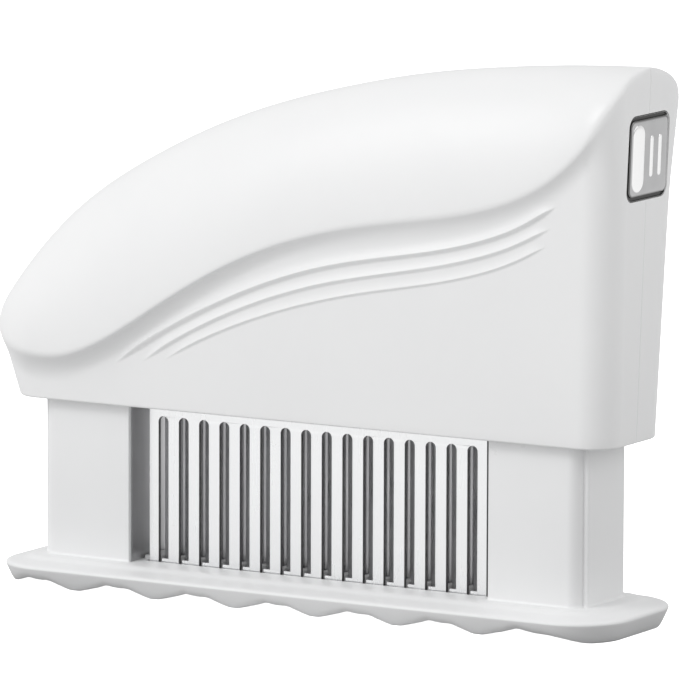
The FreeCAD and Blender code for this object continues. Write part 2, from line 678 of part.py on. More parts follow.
def finish(shell, sg):
    """sg = -1 front shell, +1 rear shell."""
    mid = middle if sg < 0 else mirror_y(middle)
    for x, z in BOSSES:
        b = cyl(x, 0, z, 3.1, 30, v(0, sg, 0)).common(mid)
        shell = shell.fuse(b)
    for x, z in BOSSES:
        if sg < 0:
            shell = shell.cut(cyl(x, 1, z, 1.1, 10.0, v(0, -1, 0)))
        else:
            shell = shell.cut(cyl(x, -1, z, 1.2, 12, v(0, 1, 0)))
            shell = shell.cut(cyl(x, 7.5, z, 2.3, 30, v(0, 1, 0)))
    return shell


# badge pocket and peg holes in the right end face
BZ, BW, BH = 103.2, 8.8, 9.1
tilt = Rotation(v(0, 1, 0), math.degrees(math.atan(LEAN)))
BX = XR0 + LEAN * (BZ - RIM_Z)


def tilted(s):
    s = s.copy()
    s.Placement = Placement(v(BX, 0, BZ), tilt).multiply(s.Placement)
    return s


def plate_yz(a, b, r, x0, x1, cy=0.0, cz=0.0):
    """Rounded plate with half sizes a along Y and b along Z, from x0 to x1."""
    s = prism(b, a, r, x0, x1)              # a box with its length along z
    s.rotate(v(0, 0, 0), v(0, 1, 0), 90)    # z -> x, x -> -z
    s.translate(v(0, cy, cz))
    return s


pocket = tilted(plate_yz(BW + 0.15, BH + 0.15, 2.6, -1.2, 4.0))
pegs = [tilted(cyl(-4.5, y, 0, 1.3, 5, v(1, 0, 0))) for y in (-5.0, 5.0)]
front = finish(shell0, -1)
rear = finish(mirror_y(shell0), 1)
pads = []
out = []
for sh, sg in ((front, -1), (rear, 1)):
    sh = sh.cut(pocket)
    for p in pegs:
        sh = sh.cut(p)
    out.append(sh)
front, rear = out
print("front", front.isValid(), len(front.Solids), [round(s.Volume) for s in front.Solids])
print("rear", rear.isValid(), len(rear.Solids), [round(s.Volume) for s in rear.Solids])


def largest(s):
    return max(s.Solids, key=lambda q: q.Volume)


add("front_shell", largest(front))
add("rear_shell", largest(rear))

# a tray with a thin lip in the pocket, a cushion on it, one broad upright bar and two slim ones
bd = plate_yz(BW, BH, 2.45, -1.2, -0.02).cut(plate_yz(BW - 0.18, BH - 0.18, 2.27, -0.35, 1.0))
for a, b, r, x0, x1 in ((7.8, 8.45, 2.0, -0.4, 0.0), (7.6, 8.25, 1.85, -0.1, 0.12), (7.1, 7.75, 1.5, 0.0, 0.2)):
    bd = bd.fuse(plate_yz(a, b, r, x0, x1))
bd = bd.fuse(plate_yz(2.55, 6.95, 2.3, 0.1, 0.42, cy=-4.6))
for cy in (1.2, 4.8):
    bd = bd.fuse(plate_yz(0.75, 4.4, 0.7, 0.1, 0.34, cy=cy))
for y in (-5.0, 5.0):
    bd = bd.fuse(cyl(-4.2, y, 0, 1.2, 3.3, v(1, 0, 0)))
add("end_badge", solids(tilted(bd.removeSplitter())))

sc = []
for x, z in BOSSES:
    s = cyl(x, -8.0, z, 1.1, 15.5, v(0, 1, 0)).fuse(cyl(x, 7.5, z, 2.1, 1.6, v(0, 1, 0)))
    sc.append(s.removeSplitter())
add("shell_screws", compound(sc))

# ---------------------------------------------------------------------------
allb = None
for name, shape in NODES.items():
    ok = shape.isValid()
    n = len(shape.Solids)
    bb = shape.BoundBox
    print("%-20s valid=%s solids=%d vol=%.0f  X %.2f..%.2f Y %.2f..%.2f Z %.2f..%.2f" % (
        name, ok, n, shape.Volume, bb.XMin, bb.XMax, bb.YMin, bb.YMax, bb.ZMin, bb.ZMax))
    shape.exportStep("parts/%s.step" % name)
    if allb is None:
        allb = FreeCAD.BoundBox(bb)
    else:
        allb.add(bb)
print("ALL X %.3f..%.3f (mid %.3f) Y %.3f..%.3f Z %.3f..%.3f" % (
    allb.XMin, allb.XMax, (allb.XMin + allb.XMax) / 2, allb.YMin, allb.YMax, allb.ZMin, allb.ZMax))
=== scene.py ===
import bpy
import bmesh
import json
import math
import numpy as np
from mathutils import Matrix, Vector
from mathutils.bvhtree import BVHTree
from mathutils.geometry import tessellate_polygon


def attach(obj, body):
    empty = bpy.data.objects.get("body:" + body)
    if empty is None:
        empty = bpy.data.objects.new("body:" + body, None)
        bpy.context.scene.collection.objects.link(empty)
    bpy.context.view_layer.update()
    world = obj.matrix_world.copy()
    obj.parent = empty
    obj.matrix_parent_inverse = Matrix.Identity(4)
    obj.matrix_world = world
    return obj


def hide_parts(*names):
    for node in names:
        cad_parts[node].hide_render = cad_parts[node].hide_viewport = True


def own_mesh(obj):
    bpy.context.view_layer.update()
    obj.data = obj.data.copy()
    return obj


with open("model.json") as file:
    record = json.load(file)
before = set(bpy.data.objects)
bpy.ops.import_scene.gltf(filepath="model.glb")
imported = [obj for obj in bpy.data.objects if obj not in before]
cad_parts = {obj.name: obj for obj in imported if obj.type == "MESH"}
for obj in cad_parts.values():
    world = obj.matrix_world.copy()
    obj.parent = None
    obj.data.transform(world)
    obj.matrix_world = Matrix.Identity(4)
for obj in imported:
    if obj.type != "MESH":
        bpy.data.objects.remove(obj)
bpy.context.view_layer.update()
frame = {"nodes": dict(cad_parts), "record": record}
NODES = frame["nodes"]

# ---------------------------------------------------------------------------
# Lengths are in millimetres, with X = 0 at the middle of the blade rows, and
# are turned into the frame's metres where a mesh is made.
# ---------------------------------------------------------------------------
X_SHIFT = 1.22
PITCH, N_BLADES = 5.2, 16
ROW_Y = (-3.2, 0.0, 3.2)
RIM_Z, FLOOR_Z0, FLOOR_Z1, WALL = 41.3, 43.5, 46.5, 2.4
HW0, LEAN, XR0, XL0, LEAN_L, CORNER = 13.65, 0.036, 75.45, -74.7, 0.324, 7.0
YC, XLC, XRC, RLC, RRC, COVE, COVE_R = 17.9, -80.8, 78.3, 14.0, 7.0, 6.5, 20.0
CREASE = [(0.0, 57.6), (8.2, 57.1), (14.4, 55.5), (20.5, 53.1), (26.6, 51.74), (34.6, 52.07),
          (44.6, 55.92), (58.6, 64.43), (76.6, 74.87), (98.6, 83.22), (120.6, 87.77),
          (140.6, 91.66), (152.6, 96.5), (160.6, 102.3), (166.6, 108.8), (171.6, 114.7),
          (178.6, 118.8), (185.9, 119.8)]
RIDGE = [(-79.9, 60.4), (-77.9, 63.7), (-76, 67.05), (-71, 74.9), (-64, 82.5), (-54, 90.0),
         (-42, 96.9), (-28, 103.55), (-12, 109.35), (6, 114.2), (24, 117.85), (42, 120.15),
         (58, 121.5), (70, 122.05), (78.0, 122.2)]
RX0, RX1 = -79.9, 78.0
BOSSES = ((-72.0, 50.5), (-46.5, 87.0), (-12.0, 96.0), (30.0, 104.0), (62.0, 108.0), (72.0, 60.0))
BZ = 103.2


class Spline:
    """Cubic spline through a table, with given or natural end slopes."""

    def __init__(self, table, s0=None, s1=None):
        self.x = np.array([float(a) for a, b in table])
        self.y = np.array([float(b) for a, b in table])
        n = len(self.x)
        h = np.diff(self.x)
        d = np.diff(self.y) / h
        m, r = np.zeros((n, n)), np.zeros(n)
        if s0 is None:
            m[0, 0], m[0, 1], r[0] = 2, 1, 3 * d[0]
        else:
            m[0, 0], r[0] = 1, s0
        if s1 is None:
            m[-1, -2], m[-1, -1], r[-1] = 1, 2, 3 * d[-1]
        else:
            m[-1, -1], r[-1] = 1, s1
        for i in range(1, n - 1):
            m[i, i - 1], m[i, i], m[i, i + 1] = h[i], 2 * (h[i - 1] + h[i]), h[i - 1]
            r[i] = 3 * (h[i] * d[i - 1] + h[i - 1] * d[i])
        self.m = np.linalg.solve(m, r)
        self.h = h

    def __call__(self, x, run_on=False):
        x = np.asarray(x, float)
        q = np.clip(x, self.x[0], self.x[-1])
        i = np.clip(np.searchsorted(self.x, q) - 1, 0, len(self.h) - 1)
        h = self.h[i]
        t = (q - self.x[i]) / h
        out = (self.y[i] * (1 + 2 * t) * (1 - t) ** 2 + self.m[i] * h * t * (1 - t) ** 2
               + self.y[i + 1] * t * t * (3 - 2 * t) + self.m[i + 1] * h * t * t * (t - 1))
        if run_on:
            out = out + np.where(x < self.x[0], (x - self.x[0]) * self.m[0], 0.0)
            out = out + np.where(x > self.x[-1], (x - self.x[-1]) * self.m[-1], 0.0)
        return out


crease_z = Spline(CREASE, 0.0, 0.0)
ridge_z = Spline(RIDGE)


def outline(s, hw, xl, xr, rl, rr):
    """Half plan outline.  s runs 0..5: left end, left corner, side, right
    corner, right end.  Returns x, y and the length along it."""
    s, hw, xl, xr, rl, rr = np.broadcast_arrays(*[np.asarray(q, float) for q in (s, hw, xl, xr, rl, rr)])
    l0, l1 = hw - rl, rl * math.pi / 2
    l2, l3, l4 = xr - rr - (xl + rl), rr * math.pi / 2, hw - rr
    a = np.clip(s - 1, 0, 1) * math.pi / 2
    b = np.clip(s - 3, 0, 1) * math.pi / 2
    x = np.select([s <= 1, s <= 2, s <= 3, s <= 4],
                  [xl, xl + rl - rl * np.cos(a), xl + rl + l2 * (s - 2), xr - rr + rr * np.sin(b)], xr)
    y = np.select([s <= 1, s <= 2, s <= 3, s <= 4],
                  [-l0 * s, -l0 - rl * np.sin(a), -hw, -l4 - rr * np.cos(b)], -l4 * (5 - s))
    d = np.select([s <= 1, s <= 2, s <= 3, s <= 4],
                  [l0 * s, l0 + rl * a, l0 + l1 + l2 * (s - 2), l0 + l1 + l2 + rr * b],
                  l0 + l1 + l2 + l3 + l4 * (s - 4))
    return x, y, d


def smooth(t):
    t = np.clip(t, 0.0, 1.0)
    return t * t * (3 - 2 * t)


def ridge_x(s):
    d = outline(s, YC, XLC, XRC, RLC, RRC)[2]
    da = outline(2.0, YC, XLC, XRC, RLC, RRC)[2]
    db = outline(3.0, YC, XLC, XRC, RLC, RRC)[2]
    dc = outline(5.0, YC, XLC, XRC, RLC, RRC)[2]
    xa, xb = -67.5, 69.0
    qa = d / da
    qb = (dc - d) / (dc - db)
    return np.select([d <= da, d <= db],
                     [RX0 + (xa - RX0) * (0.24 * qa + 0.76 * qa * qa), xa + (xb - xa) * (d - da) / (db - da)],
                     RX1 - (RX1 - xb) * (0.18 * qb + 0.82 * qb * qb))


def crease_pt(s, off):
    cx, cy, _ = outline(s, YC - off, XLC + off * 1.25, XRC - off, RLC - off * 0.7, RRC - off * 0.7)
    dd = outline(s, YC, XLC, XRC, RLC, RRC)[2]
    w = smooth((s - 2.78) / 0.8)
    z = crease_z(dd) + off * (0.9 * (1 - w) * smooth(s / 1.5) - 1.2 * w)
    return cx, cy, z


def wall_at(s, z, off=0.0):
    cx, cy, cz = crease_pt(s, off)
    dz = z - RIM_Z
    hw = HW0 + LEAN * dz - off
    xr = XR0 + LEAN * dz - off
    xl = XL0 - LEAN_L * dz + off * 1.07
    wx, wy, _ = outline(s, hw, xl, xr, CORNER - off * 0.6, CORNER - off * 0.6)
    cv = COVE + COVE_R * smooth((s - 3.1) / 0.6) * smooth((4.45 - s) / 0.4)
    g = np.clip((z - (cz - cv)) / cv, 0.0, 1.0) ** 2.3
    return np.stack(np.broadcast_arrays(wx + (cx - wx) * g, wy + (cy - wy) * g, z), -1)


def crown_at(s, th, off=0.0):
    cx, cy, cz = crease_pt(s, off)
    rx = ridge_x(s)
    e = 0.05
    m = (ridge_z(np.minimum(rx + e, RX1)) - ridge_z(np.maximum(rx - e, RX0))) / (2 * e)
    k = np.sqrt(1 + m * m)
    rz = ridge_z(rx) - off * k
    if off:
        span = RX1 - RX0
        rx = RX0 + 1.6 * off + (rx - RX0) * (span - 2.5 * off) / span
        rz = np.minimum(rz, ridge_z(rx) - off * k)
    rz = np.maximum(rz, cz + 0.35)
    c, sn = np.cos(th), np.sin(th)
    return np.stack(np.broadcast_arrays(cx + (rx - cx) * (1 - c), cy * c, cz + (rz - cz) * sn), -1)


# --- the three raised waves on each side -------------------------------------
# Each row is a point of the line at the foot of a wave's steep side; X is
# counted from 0.70 mm left of the middle of the blade rows.
L1 = [(-45.49, 51.11), (-37.82, 55.91), (-29.93, 60.47), (-21.83, 64.69), (-13.53, 68.53), (-5.03, 71.9),
      (3.65, 74.73), (12.5, 76.96), (21.48, 78.72), (30.46, 80.35), (39.35, 82.21), (48.04, 84.67),
      (56.42, 88.08), (64.39, 92.81)]
L2 = [(-38.47, 52.04), (-31.46, 56.38), (-24.17, 60.34), (-16.63, 63.91), (-8.88, 67.07), (-0.97, 69.81),
      (7.06, 72.12), (15.19, 73.98), (23.35, 75.59), (31.5, 77.17), (39.57, 78.96), (47.52, 81.2),
      (55.28, 84.14), (62.81, 88.0)]
L3 = [(-32.8, 52.89), (-26.09, 56.5), (-19.15, 59.75), (-12.01, 62.66), (-4.71, 65.24), (2.71, 67.5),
      (10.21, 69.46), (17.75, 71.13), (25.3, 72.59), (32.81, 74.04), (40.26, 75.7), (47.59, 77.79),
      (54.77, 80.54), (61.76, 84.14)]
LINES = []
for pts, hh, ww, e_tab in ((L1, 0.85, 2.6, [(-46, 1.2), (-38, 1.5), (-20, 1.25), (0, 1.15), (64, 1.1)]),
                           (L2, 0.60, 2.3, [(-39, 1.0), (0, 0.95), (63, 0.9)]),
                           (L3, 0.42, 2.3, [(-33, 0.7), (62, 0.65)])):
    LINES.append((Spline([(x - 0.70, z) for x, z in pts]), pts[0][0] - 0.70, pts[-1][0] - 0.70,
                  hh, ww, e_tab))


def wave_height(x, z):
    out = np.zeros_like(x)
    for f, x0, x1, hh, ww, e_tab in LINES:
        zc = f(x, True)
        sl = (f(x + 0.2, True) - f(x - 0.2, True)) / 0.4
        w = (z - zc) / np.sqrt(1 + sl * sl)
        t = smooth((x - x0 + 0.6) / 7.0) ** 0.7 * smooth((x1 + 0.5 - x) / 4.5) ** 0.7
        e = np.interp(x, [a for a, b in e_tab], [b for a, b in e_tab]) * (0.3 + 0.7 * t)
        width = ww * (0.45 + 0.55 * t)
        u = w - e / 2
        rise = np.clip(1 - u / width, 0, 1) ** 2.4
        fall = smooth((w + e / 2) / e)
        out = out + hh * t * np.where(u > 0, rise, fall)
    return out


# ---------------------------------------------------------------------------
# Mesh helpers
# ---------------------------------------------------------------------------
def new_object(name, verts, faces, body, slot, mat, sharp=38.0, shift=True):
    co = np.array(verts, float)
    if shift:
        co[:, 0] += X_SHIFT
    me = bpy.data.meshes.new(name)
    me.from_pydata((co * 0.001).tolist(), [], [tuple(int(i) for i in f) for f in faces])
    me.validate()
    me.update()
    ob = bpy.data.objects.new(name, me)
    bpy.context.scene.collection.objects.link(ob)
    if mat is not None:
        me.materials.append(mat)
    if body:
        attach(ob, body)
    shade(ob, sharp)
    return ob


def shade(ob, sharp=38.0):
    me = ob.data
    me.shade_smooth()
    if sharp is not None:
        me.set_sharp_from_angle(angle=math.radians(sharp))


def tidy(ob, dist=1e-6):
    """Merges doubles and makes the normals point out."""
    bm = bmesh.new()
    bm.from_mesh(ob.data)
    bmesh.ops.remove_doubles(bm, verts=bm.verts, dist=dist)
    bmesh.ops.dissolve_degenerate(bm, edges=bm.edges, dist=dist)
    bmesh.ops.recalc_face_normals(bm, faces=bm.faces)
    bm.to_mesh(ob.data)
    bm.free()
    ob.data.update()


def cut_away(ob, cutter, solver="EXACT", operation="DIFFERENCE"):
    md = ob.modifiers.new("cut", "BOOLEAN")
    md.operation = operation
    md.solver = solver
    md.object = cutter
    dg = bpy.context.evaluated_depsgraph_get()
    done = bpy.data.meshes.new_from_object(ob.evaluated_get(dg))
    ob.modifiers.remove(md)
    old = ob.data
    mats = [m for m in old.materials]
    ob.data = done
    done.name = ob.name
    bpy.data.meshes.remove(old)
    done.materials.clear()
    for m in mats:
        done.materials.append(m)
    n = len(done.polygons)
    if n:
        done.polygons.foreach_set("material_index", np.zeros(n, np.int32))
    bpy.data.objects.remove(cutter)


def box_faces(k):
    return [(k, k + 3, k + 2, k + 1), (k + 4, k + 5, k + 6, k + 7), (k, k + 1, k + 5, k + 4),
            (k + 1, k + 2, k + 6, k + 5), (k + 2, k + 3, k + 7, k + 6), (k + 3, k, k + 4, k + 7)]


def box_verts(x0, x1, y0, y1, z0, z1):
    return [(x0, y0, z0), (x1, y0, z0), (x1, y1, z0), (x0, y1, z0),
            (x0, y0, z1), (x1, y0, z1), (x1, y1, z1), (x0, y1, z1)]


def cyl_mesh(x, y, z, r, h, n=40, axis="z"):
    vs, fs = [], []
    for lv in (0.0, h):
        for i in range(n):
            a = 2 * math.pi * i / n
            if axis == "z":
                vs.append((x + r * math.cos(a), y + r * math.sin(a), z + lv))
            else:                       # along +y
                vs.append((x + r * math.cos(a), y + lv, z - r * math.sin(a)))
    for i in range(n):
        j = (i + 1) % n
        fs.append((i, j, n + j, n + i))
    fs.append(tuple(range(n))[::-1])
    fs.append(tuple(range(n, 2 * n)))
    return vs, fs


def joined(parts):
    vs, fs = [], []
    for v, f in parts:
        k = len(vs)
        vs += list(v)
        fs += [tuple(i + k for i in q) for q in f]
    return vs, fs


def raw(name, vs, fs):
    """A helper object in frame metres, not part of the model."""
    co = np.array(vs, float)
    co[:, 0] += X_SHIFT
    me = bpy.data.meshes.new(name)
    me.from_pydata((co * 0.001).tolist(), [], [tuple(f) for f in fs])
    me.update()
    ob = bpy.data.objects.new(name, me)
    bpy.context.scene.collection.objects.link(ob)
    return ob


def rounded_rect(a, b, r, n=10):
    """Outline of a rounded rectangle with half sizes a, b, counter-clockwise."""
    pts = []
    for cx, cy, t0 in ((a - r, b - r, 0), (-a + r, b - r, 90), (-a + r, -b + r, 180), (a - r, -b + r, 270)):
        for i in range(n + 1):
            t = math.radians(t0 + 90.0 * i / n)
            pts.append((cx + r * math.cos(t), cy + r * math.sin(t)))
    return pts


# ---------------------------------------------------------------------------
# Materials
# ---------------------------------------------------------------------------
class Mat:
    def __init__(self, name, metallic=0.0, ior=1.5, coat=0.0, coat_rough=0.1):
        self.m = bpy.data.materials.new(name)
        self.m.use_nodes = True
        self.t = self.m.node_tree
        self.t.nodes.clear()
        self.out = self.n("ShaderNodeOutputMaterial")
        self.b = self.n("ShaderNodeBsdfPrincipled")
        self.b.inputs["Metallic"].default_value = metallic
        self.b.inputs["IOR"].default_value = ior
        self.b.inputs["Coat Weight"].default_value = coat
        self.b.inputs["Coat Roughness"].default_value = coat_rough
        self.l(self.b.outputs["BSDF"], self.out.inputs["Surface"])
        self.co = self.n("ShaderNodeTexCoord").outputs["Object"]

    def n(self, kind):
        return self.t.nodes.new(kind)

    def l(self, a, b):
        self.t.links.new(a, b)

    def mapping(self, scale, rot=(0, 0, 0)):
        m = self.n("ShaderNodeMapping")
        m.inputs["Scale"].default_value = scale
        m.inputs["Rotation"].default_value = rot
        self.l(self.co, m.inputs["Vector"])
        return m.outputs["Vector"]

    def noise(self, scale, detail=3.0, rough=0.55, vec=None, dist=0.0):
        t = self.n("ShaderNodeTexNoise")
        t.inputs["Scale"].default_value = scale
        t.inputs["Detail"].default_value = detail
        t.inputs["Roughness"].default_value = rough
        t.inputs["Distortion"].default_value = dist
        self.l(vec if vec is not None else self.co, t.inputs["Vector"])
        return t.outputs["Fac"]

    def span(self, fac, lo, hi, a=0.3, b=0.7):
        r = self.n("ShaderNodeMapRange")
        r.inputs["From Min"].default_value = a
        r.inputs["From Max"].default_value = b
        r.inputs["To Min"].default_value = lo
        r.inputs["To Max"].default_value = hi
        self.l(fac, r.inputs["Value"])
        return r.outputs["Result"]

    def mix(self, fac, ca, cb):
        m = self.n("ShaderNodeMix")
        m.data_type = "RGBA"
        self.l(fac, m.inputs["Factor"])
        for key, c in (("A", ca), ("B", cb)):
            s = [i for i in m.inputs if i.name == key and i.type == "RGBA"][0]
            if isinstance(c, tuple):
                s.default_value = (*c, 1.0)
            else:
                self.l(c, s)
        return [o for o in m.outputs if o.type == "RGBA"][0]

    def math(self, op, a, b):
        m = self.n("ShaderNodeMath")
        m.operation = op
        for i, q in enumerate((a, b)):
            if isinstance(q, (int, float)):
                m.inputs[i].default_value = q
            else:
                self.l(q, m.inputs[i])
        return m.outputs[0]

    def edges(self, lo=0.50, hi=0.56):
        g = self.n("ShaderNodeNewGeometry")
        return self.span(g.outputs["Pointiness"], 0.0, 1.0, lo, hi)

    def facing_y(self):
        """1 on faces that look to the front or rear, 0 on the others."""
        c = self.n("ShaderNodeTexCoord")
        q = self.n("ShaderNodeSeparateXYZ")
        self.l(c.outputs["Normal"], q.inputs[0])
        a = self.n("ShaderNodeMath")
        a.operation = "ABSOLUTE"
        self.l(q.outputs[1], a.inputs[0])
        return self.span(a.outputs[0], 0.0, 1.0, 0.45, 0.70)

    def bump(self, height, strength, distance):
        b = self.n("ShaderNodeBump")
        b.inputs["Strength"].default_value = strength
        b.inputs["Distance"].default_value = distance
        self.l(height, b.inputs["Height"])
        self.l(b.outputs["Normal"], self.b.inputs["Normal"])


def plastic(name, base, dark, worn, r0, r1, grain=0.10, coat=0.0, spec=0.5):
    """Moulded plastic: faint clouding, a fine moulded grain, uneven gloss, and
    edges rubbed a little smoother and lighter."""
    k = Mat(name, coat=coat)
    k.b.inputs["Specular IOR Level"].default_value = spec
    cloud = k.noise(28.0, 4.0, 0.6)
    fine = k.noise(900.0, 3.0, 0.6)
    speck = k.noise(260.0, 5.0, 0.7)
    col = k.mix(k.span(cloud, 0.0, 1.0), dark, base)
    edge = k.edges()
    col = k.mix(k.math("MULTIPLY", edge, 0.5), col, worn)
    k.l(col, k.b.inputs["Base Color"])
    rg = k.math("ADD", k.span(speck, r0, r1), k.math("MULTIPLY", k.span(cloud, -1.0, 1.0), 0.03))
    rg = k.math("SUBTRACT", rg, k.math("MULTIPLY", edge, 0.06))
    k.l(rg, k.b.inputs["Roughness"])
    k.bump(k.math("ADD", k.math("MULTIPLY", fine, 0.6), speck), grain, 0.00004)
    return k.m


def metal(name, base, dark, r0, r1, streak=(900.0, 900.0, 14.0), grain=0.12, rot=(0, 0, 0), edge_c=None,
          cut=None):
    """Sheet or wire metal: drawn or brushed streaks in colour, gloss and bump,
    and brighter rubbed edges.  cut is a dark colour painted on the faces that
    don't face +Y or -Y, the punched edges, as painted shade for the dark slot
    walls; these faces are also made rougher."""
    k = Mat(name, metallic=1.0)
    vec = k.mapping(streak, rot)
    lines = k.noise(1.0, 4.0, 0.65, vec)
    cloud = k.noise(60.0, 3.0, 0.5)
    both = k.math("MULTIPLY", k.math("ADD", lines, cloud), 0.5)
    col = k.mix(k.span(both, 0.0, 1.0, 0.36, 0.64), dark, base)
    edge = k.edges(0.50, 0.58)
    col = k.mix(k.math("MULTIPLY", edge, 0.6), col, edge_c or tuple(min(1.0, c * 1.08) for c in base))
    rg = k.span(both, r0, r1, 0.36, 0.64)
    # painted shade: the punched edges get the dark cut colour for the shade in the slots; their added roughness is the
    # duller cut itself
    if cut:
        face = k.facing_y()
        col = k.mix(face, cut, col)
        rg = k.math("ADD", rg, k.math("MULTIPLY", k.math("SUBTRACT", 1.0, face), 0.25))
    k.l(col, k.b.inputs["Base Color"])
    k.l(rg, k.b.inputs["Roughness"])
    k.bump(lines, grain, 0.00002)
    return k.m


def badge(name, shade_ground, plate, bar):
    """Chromed badge: a plate of darker metal and bright bars, told apart by how far they stand out of the end face,
    and a near-black painted shade on what stands less than 0.08 mm out, except along the right edge."""
    k = Mat(name, metallic=1.0)
    tilt = math.atan(LEAN)
    bx = (XR0 + LEAN * (BZ - RIM_Z) + X_SHIFT) * 0.001
    sep = k.n("ShaderNodeSeparateXYZ")
    k.l(k.co, sep.inputs[0])
    out = k.math("SUBTRACT", k.math("MULTIPLY", k.math("SUBTRACT", sep.outputs[0], bx), math.cos(tilt)),
                 k.math("MULTIPLY", k.math("SUBTRACT", sep.outputs[2], BZ * 0.001), math.sin(tilt)))
    cloud = k.noise(240.0, 3.0, 0.5)
    lines = k.noise(1.0, 3.0, 0.6, k.mapping((700.0, 700.0, 60.0)))
    tint = k.mix(k.span(cloud, 0.0, 1.0), tuple(c * 0.93 for c in plate), plate)
    # painted shade: near black where the badge stands less than 0.08 mm out of the end face, except where Y is over
    # 7.9 mm
    clear_of_painted_shade = k.math("MAXIMUM", k.span(out, 0.0, 1.0, 0.00008, 0.00015),
                 k.span(sep.outputs[1], 0.0, 1.0, 0.0079, 0.0082))
    col = k.mix(clear_of_painted_shade, shade_ground, tint)
    col = k.mix(k.span(out, 0.0, 1.0, 0.000225, 0.00028), col, bar)
    edge = k.edges(0.50, 0.60)
    col = k.mix(k.math("MULTIPLY", edge, 0.4), col, tuple(min(1.0, c * 1.05) for c in bar))
    k.l(col, k.b.inputs["Base Color"])
    k.l(k.span(lines, 0.10, 0.20), k.b.inputs["Roughness"])
    k.bump(lines, 0.02, 0.00002)
    return k.m


M = {
    "housing_plastic": plastic("housing_plastic", (0.862, 0.865, 0.867), (0.842, 0.845, 0.849), (0.90, 0.90, 0.90),
                               0.36, 0.44, 0.04),
    "leg_plastic": plastic("leg_plastic", (0.862, 0.866, 0.870), (0.84, 0.845, 0.85), (0.89, 0.89, 0.89),
                           0.30, 0.38, 0.02),
    "foot_plastic": plastic("foot_plastic", (0.868, 0.872, 0.876), (0.85, 0.855, 0.86), (0.89, 0.89, 0.89),
                            0.40, 0.48, 0.010, spec=0.4),
    "inner_plastic": plastic("inner_plastic", (0.72, 0.72, 0.70), (0.66, 0.66, 0.64), (0.76, 0.76, 0.75),
                             0.45, 0.6, 0.16),
    # guard_steel: cut=(0.22, 0.22, 0.225) is the painted shade on the punched slot walls
    "guard_steel": metal("guard_steel", (0.87, 0.875, 0.88), (0.83, 0.835, 0.84), 0.20, 0.30,
                         (420.0, 420.0, 9.0), 0.04, cut=(0.22, 0.22, 0.225)),
    "cheek_steel": metal("cheek_steel", (0.62, 0.62, 0.63), (0.50, 0.50, 0.51), 0.28, 0.42,
                         (900.0, 900.0, 12.0), 0.10),
    "blade_steel": metal("blade_steel", (0.71, 0.71, 0.72), (0.60, 0.60, 0.61), 0.24, 0.36,
                         (1400.0, 1400.0, 18.0), 0.06),
    "clamp_steel": metal("clamp_steel", (0.62, 0.62, 0.63), (0.52, 0.52, 0.53), 0.3, 0.45,
                         (14.0, 900.0, 900.0), 0.12),
    # badge_metal: the first colour, near black, is the painted shade in the badge's ring
    "badge_metal": badge("badge_metal", (0.05, 0.05, 0.05), (0.50, 0.50, 0.505), (0.98, 0.98, 0.98)),
    "spring_steel": metal("spring_steel", (0.58, 0.58, 0.59), (0.44, 0.44, 0.45), 0.25, 0.4,
                          (300.0, 300.0, 300.0), 0.08),
    "screw_steel": metal("screw_steel", (0.62, 0.62, 0.61), (0.50, 0.50, 0.50), 0.25, 0.42,
                         (600.0, 600.0, 600.0), 0.10),
}

for name, ob in NODES.items():
    sub = [q for q in frame["record"]["subparts"] if q["node"] == name]
    s = sub[0]["material_slot"]
    ob.data.materials.clear()
    ob.data.materials.append(M[s])


# ---------------------------------------------------------------------------
# Housing shells
# ---------------------------------------------------------------------------
def column_params():
    s = [0.0, 0.0075, 0.018, 0.031, 0.046]
    s += list(np.linspace(0.07, 1.0, 14))
    s += list(np.linspace(1.0, 2.0, 34)[1:])
    n = int(146.0 / (0.46))
    s += list(np.linspace(2.0, 3.0, n)[1:])
    s += list(np.linspace(3.0, 4.0, 30)[1:])
    s += list(np.linspace(4.0, 4.954, 26)[1:])
    s += [4.969, 4.982, 4.9925, 5.0]
    return np.array(s)


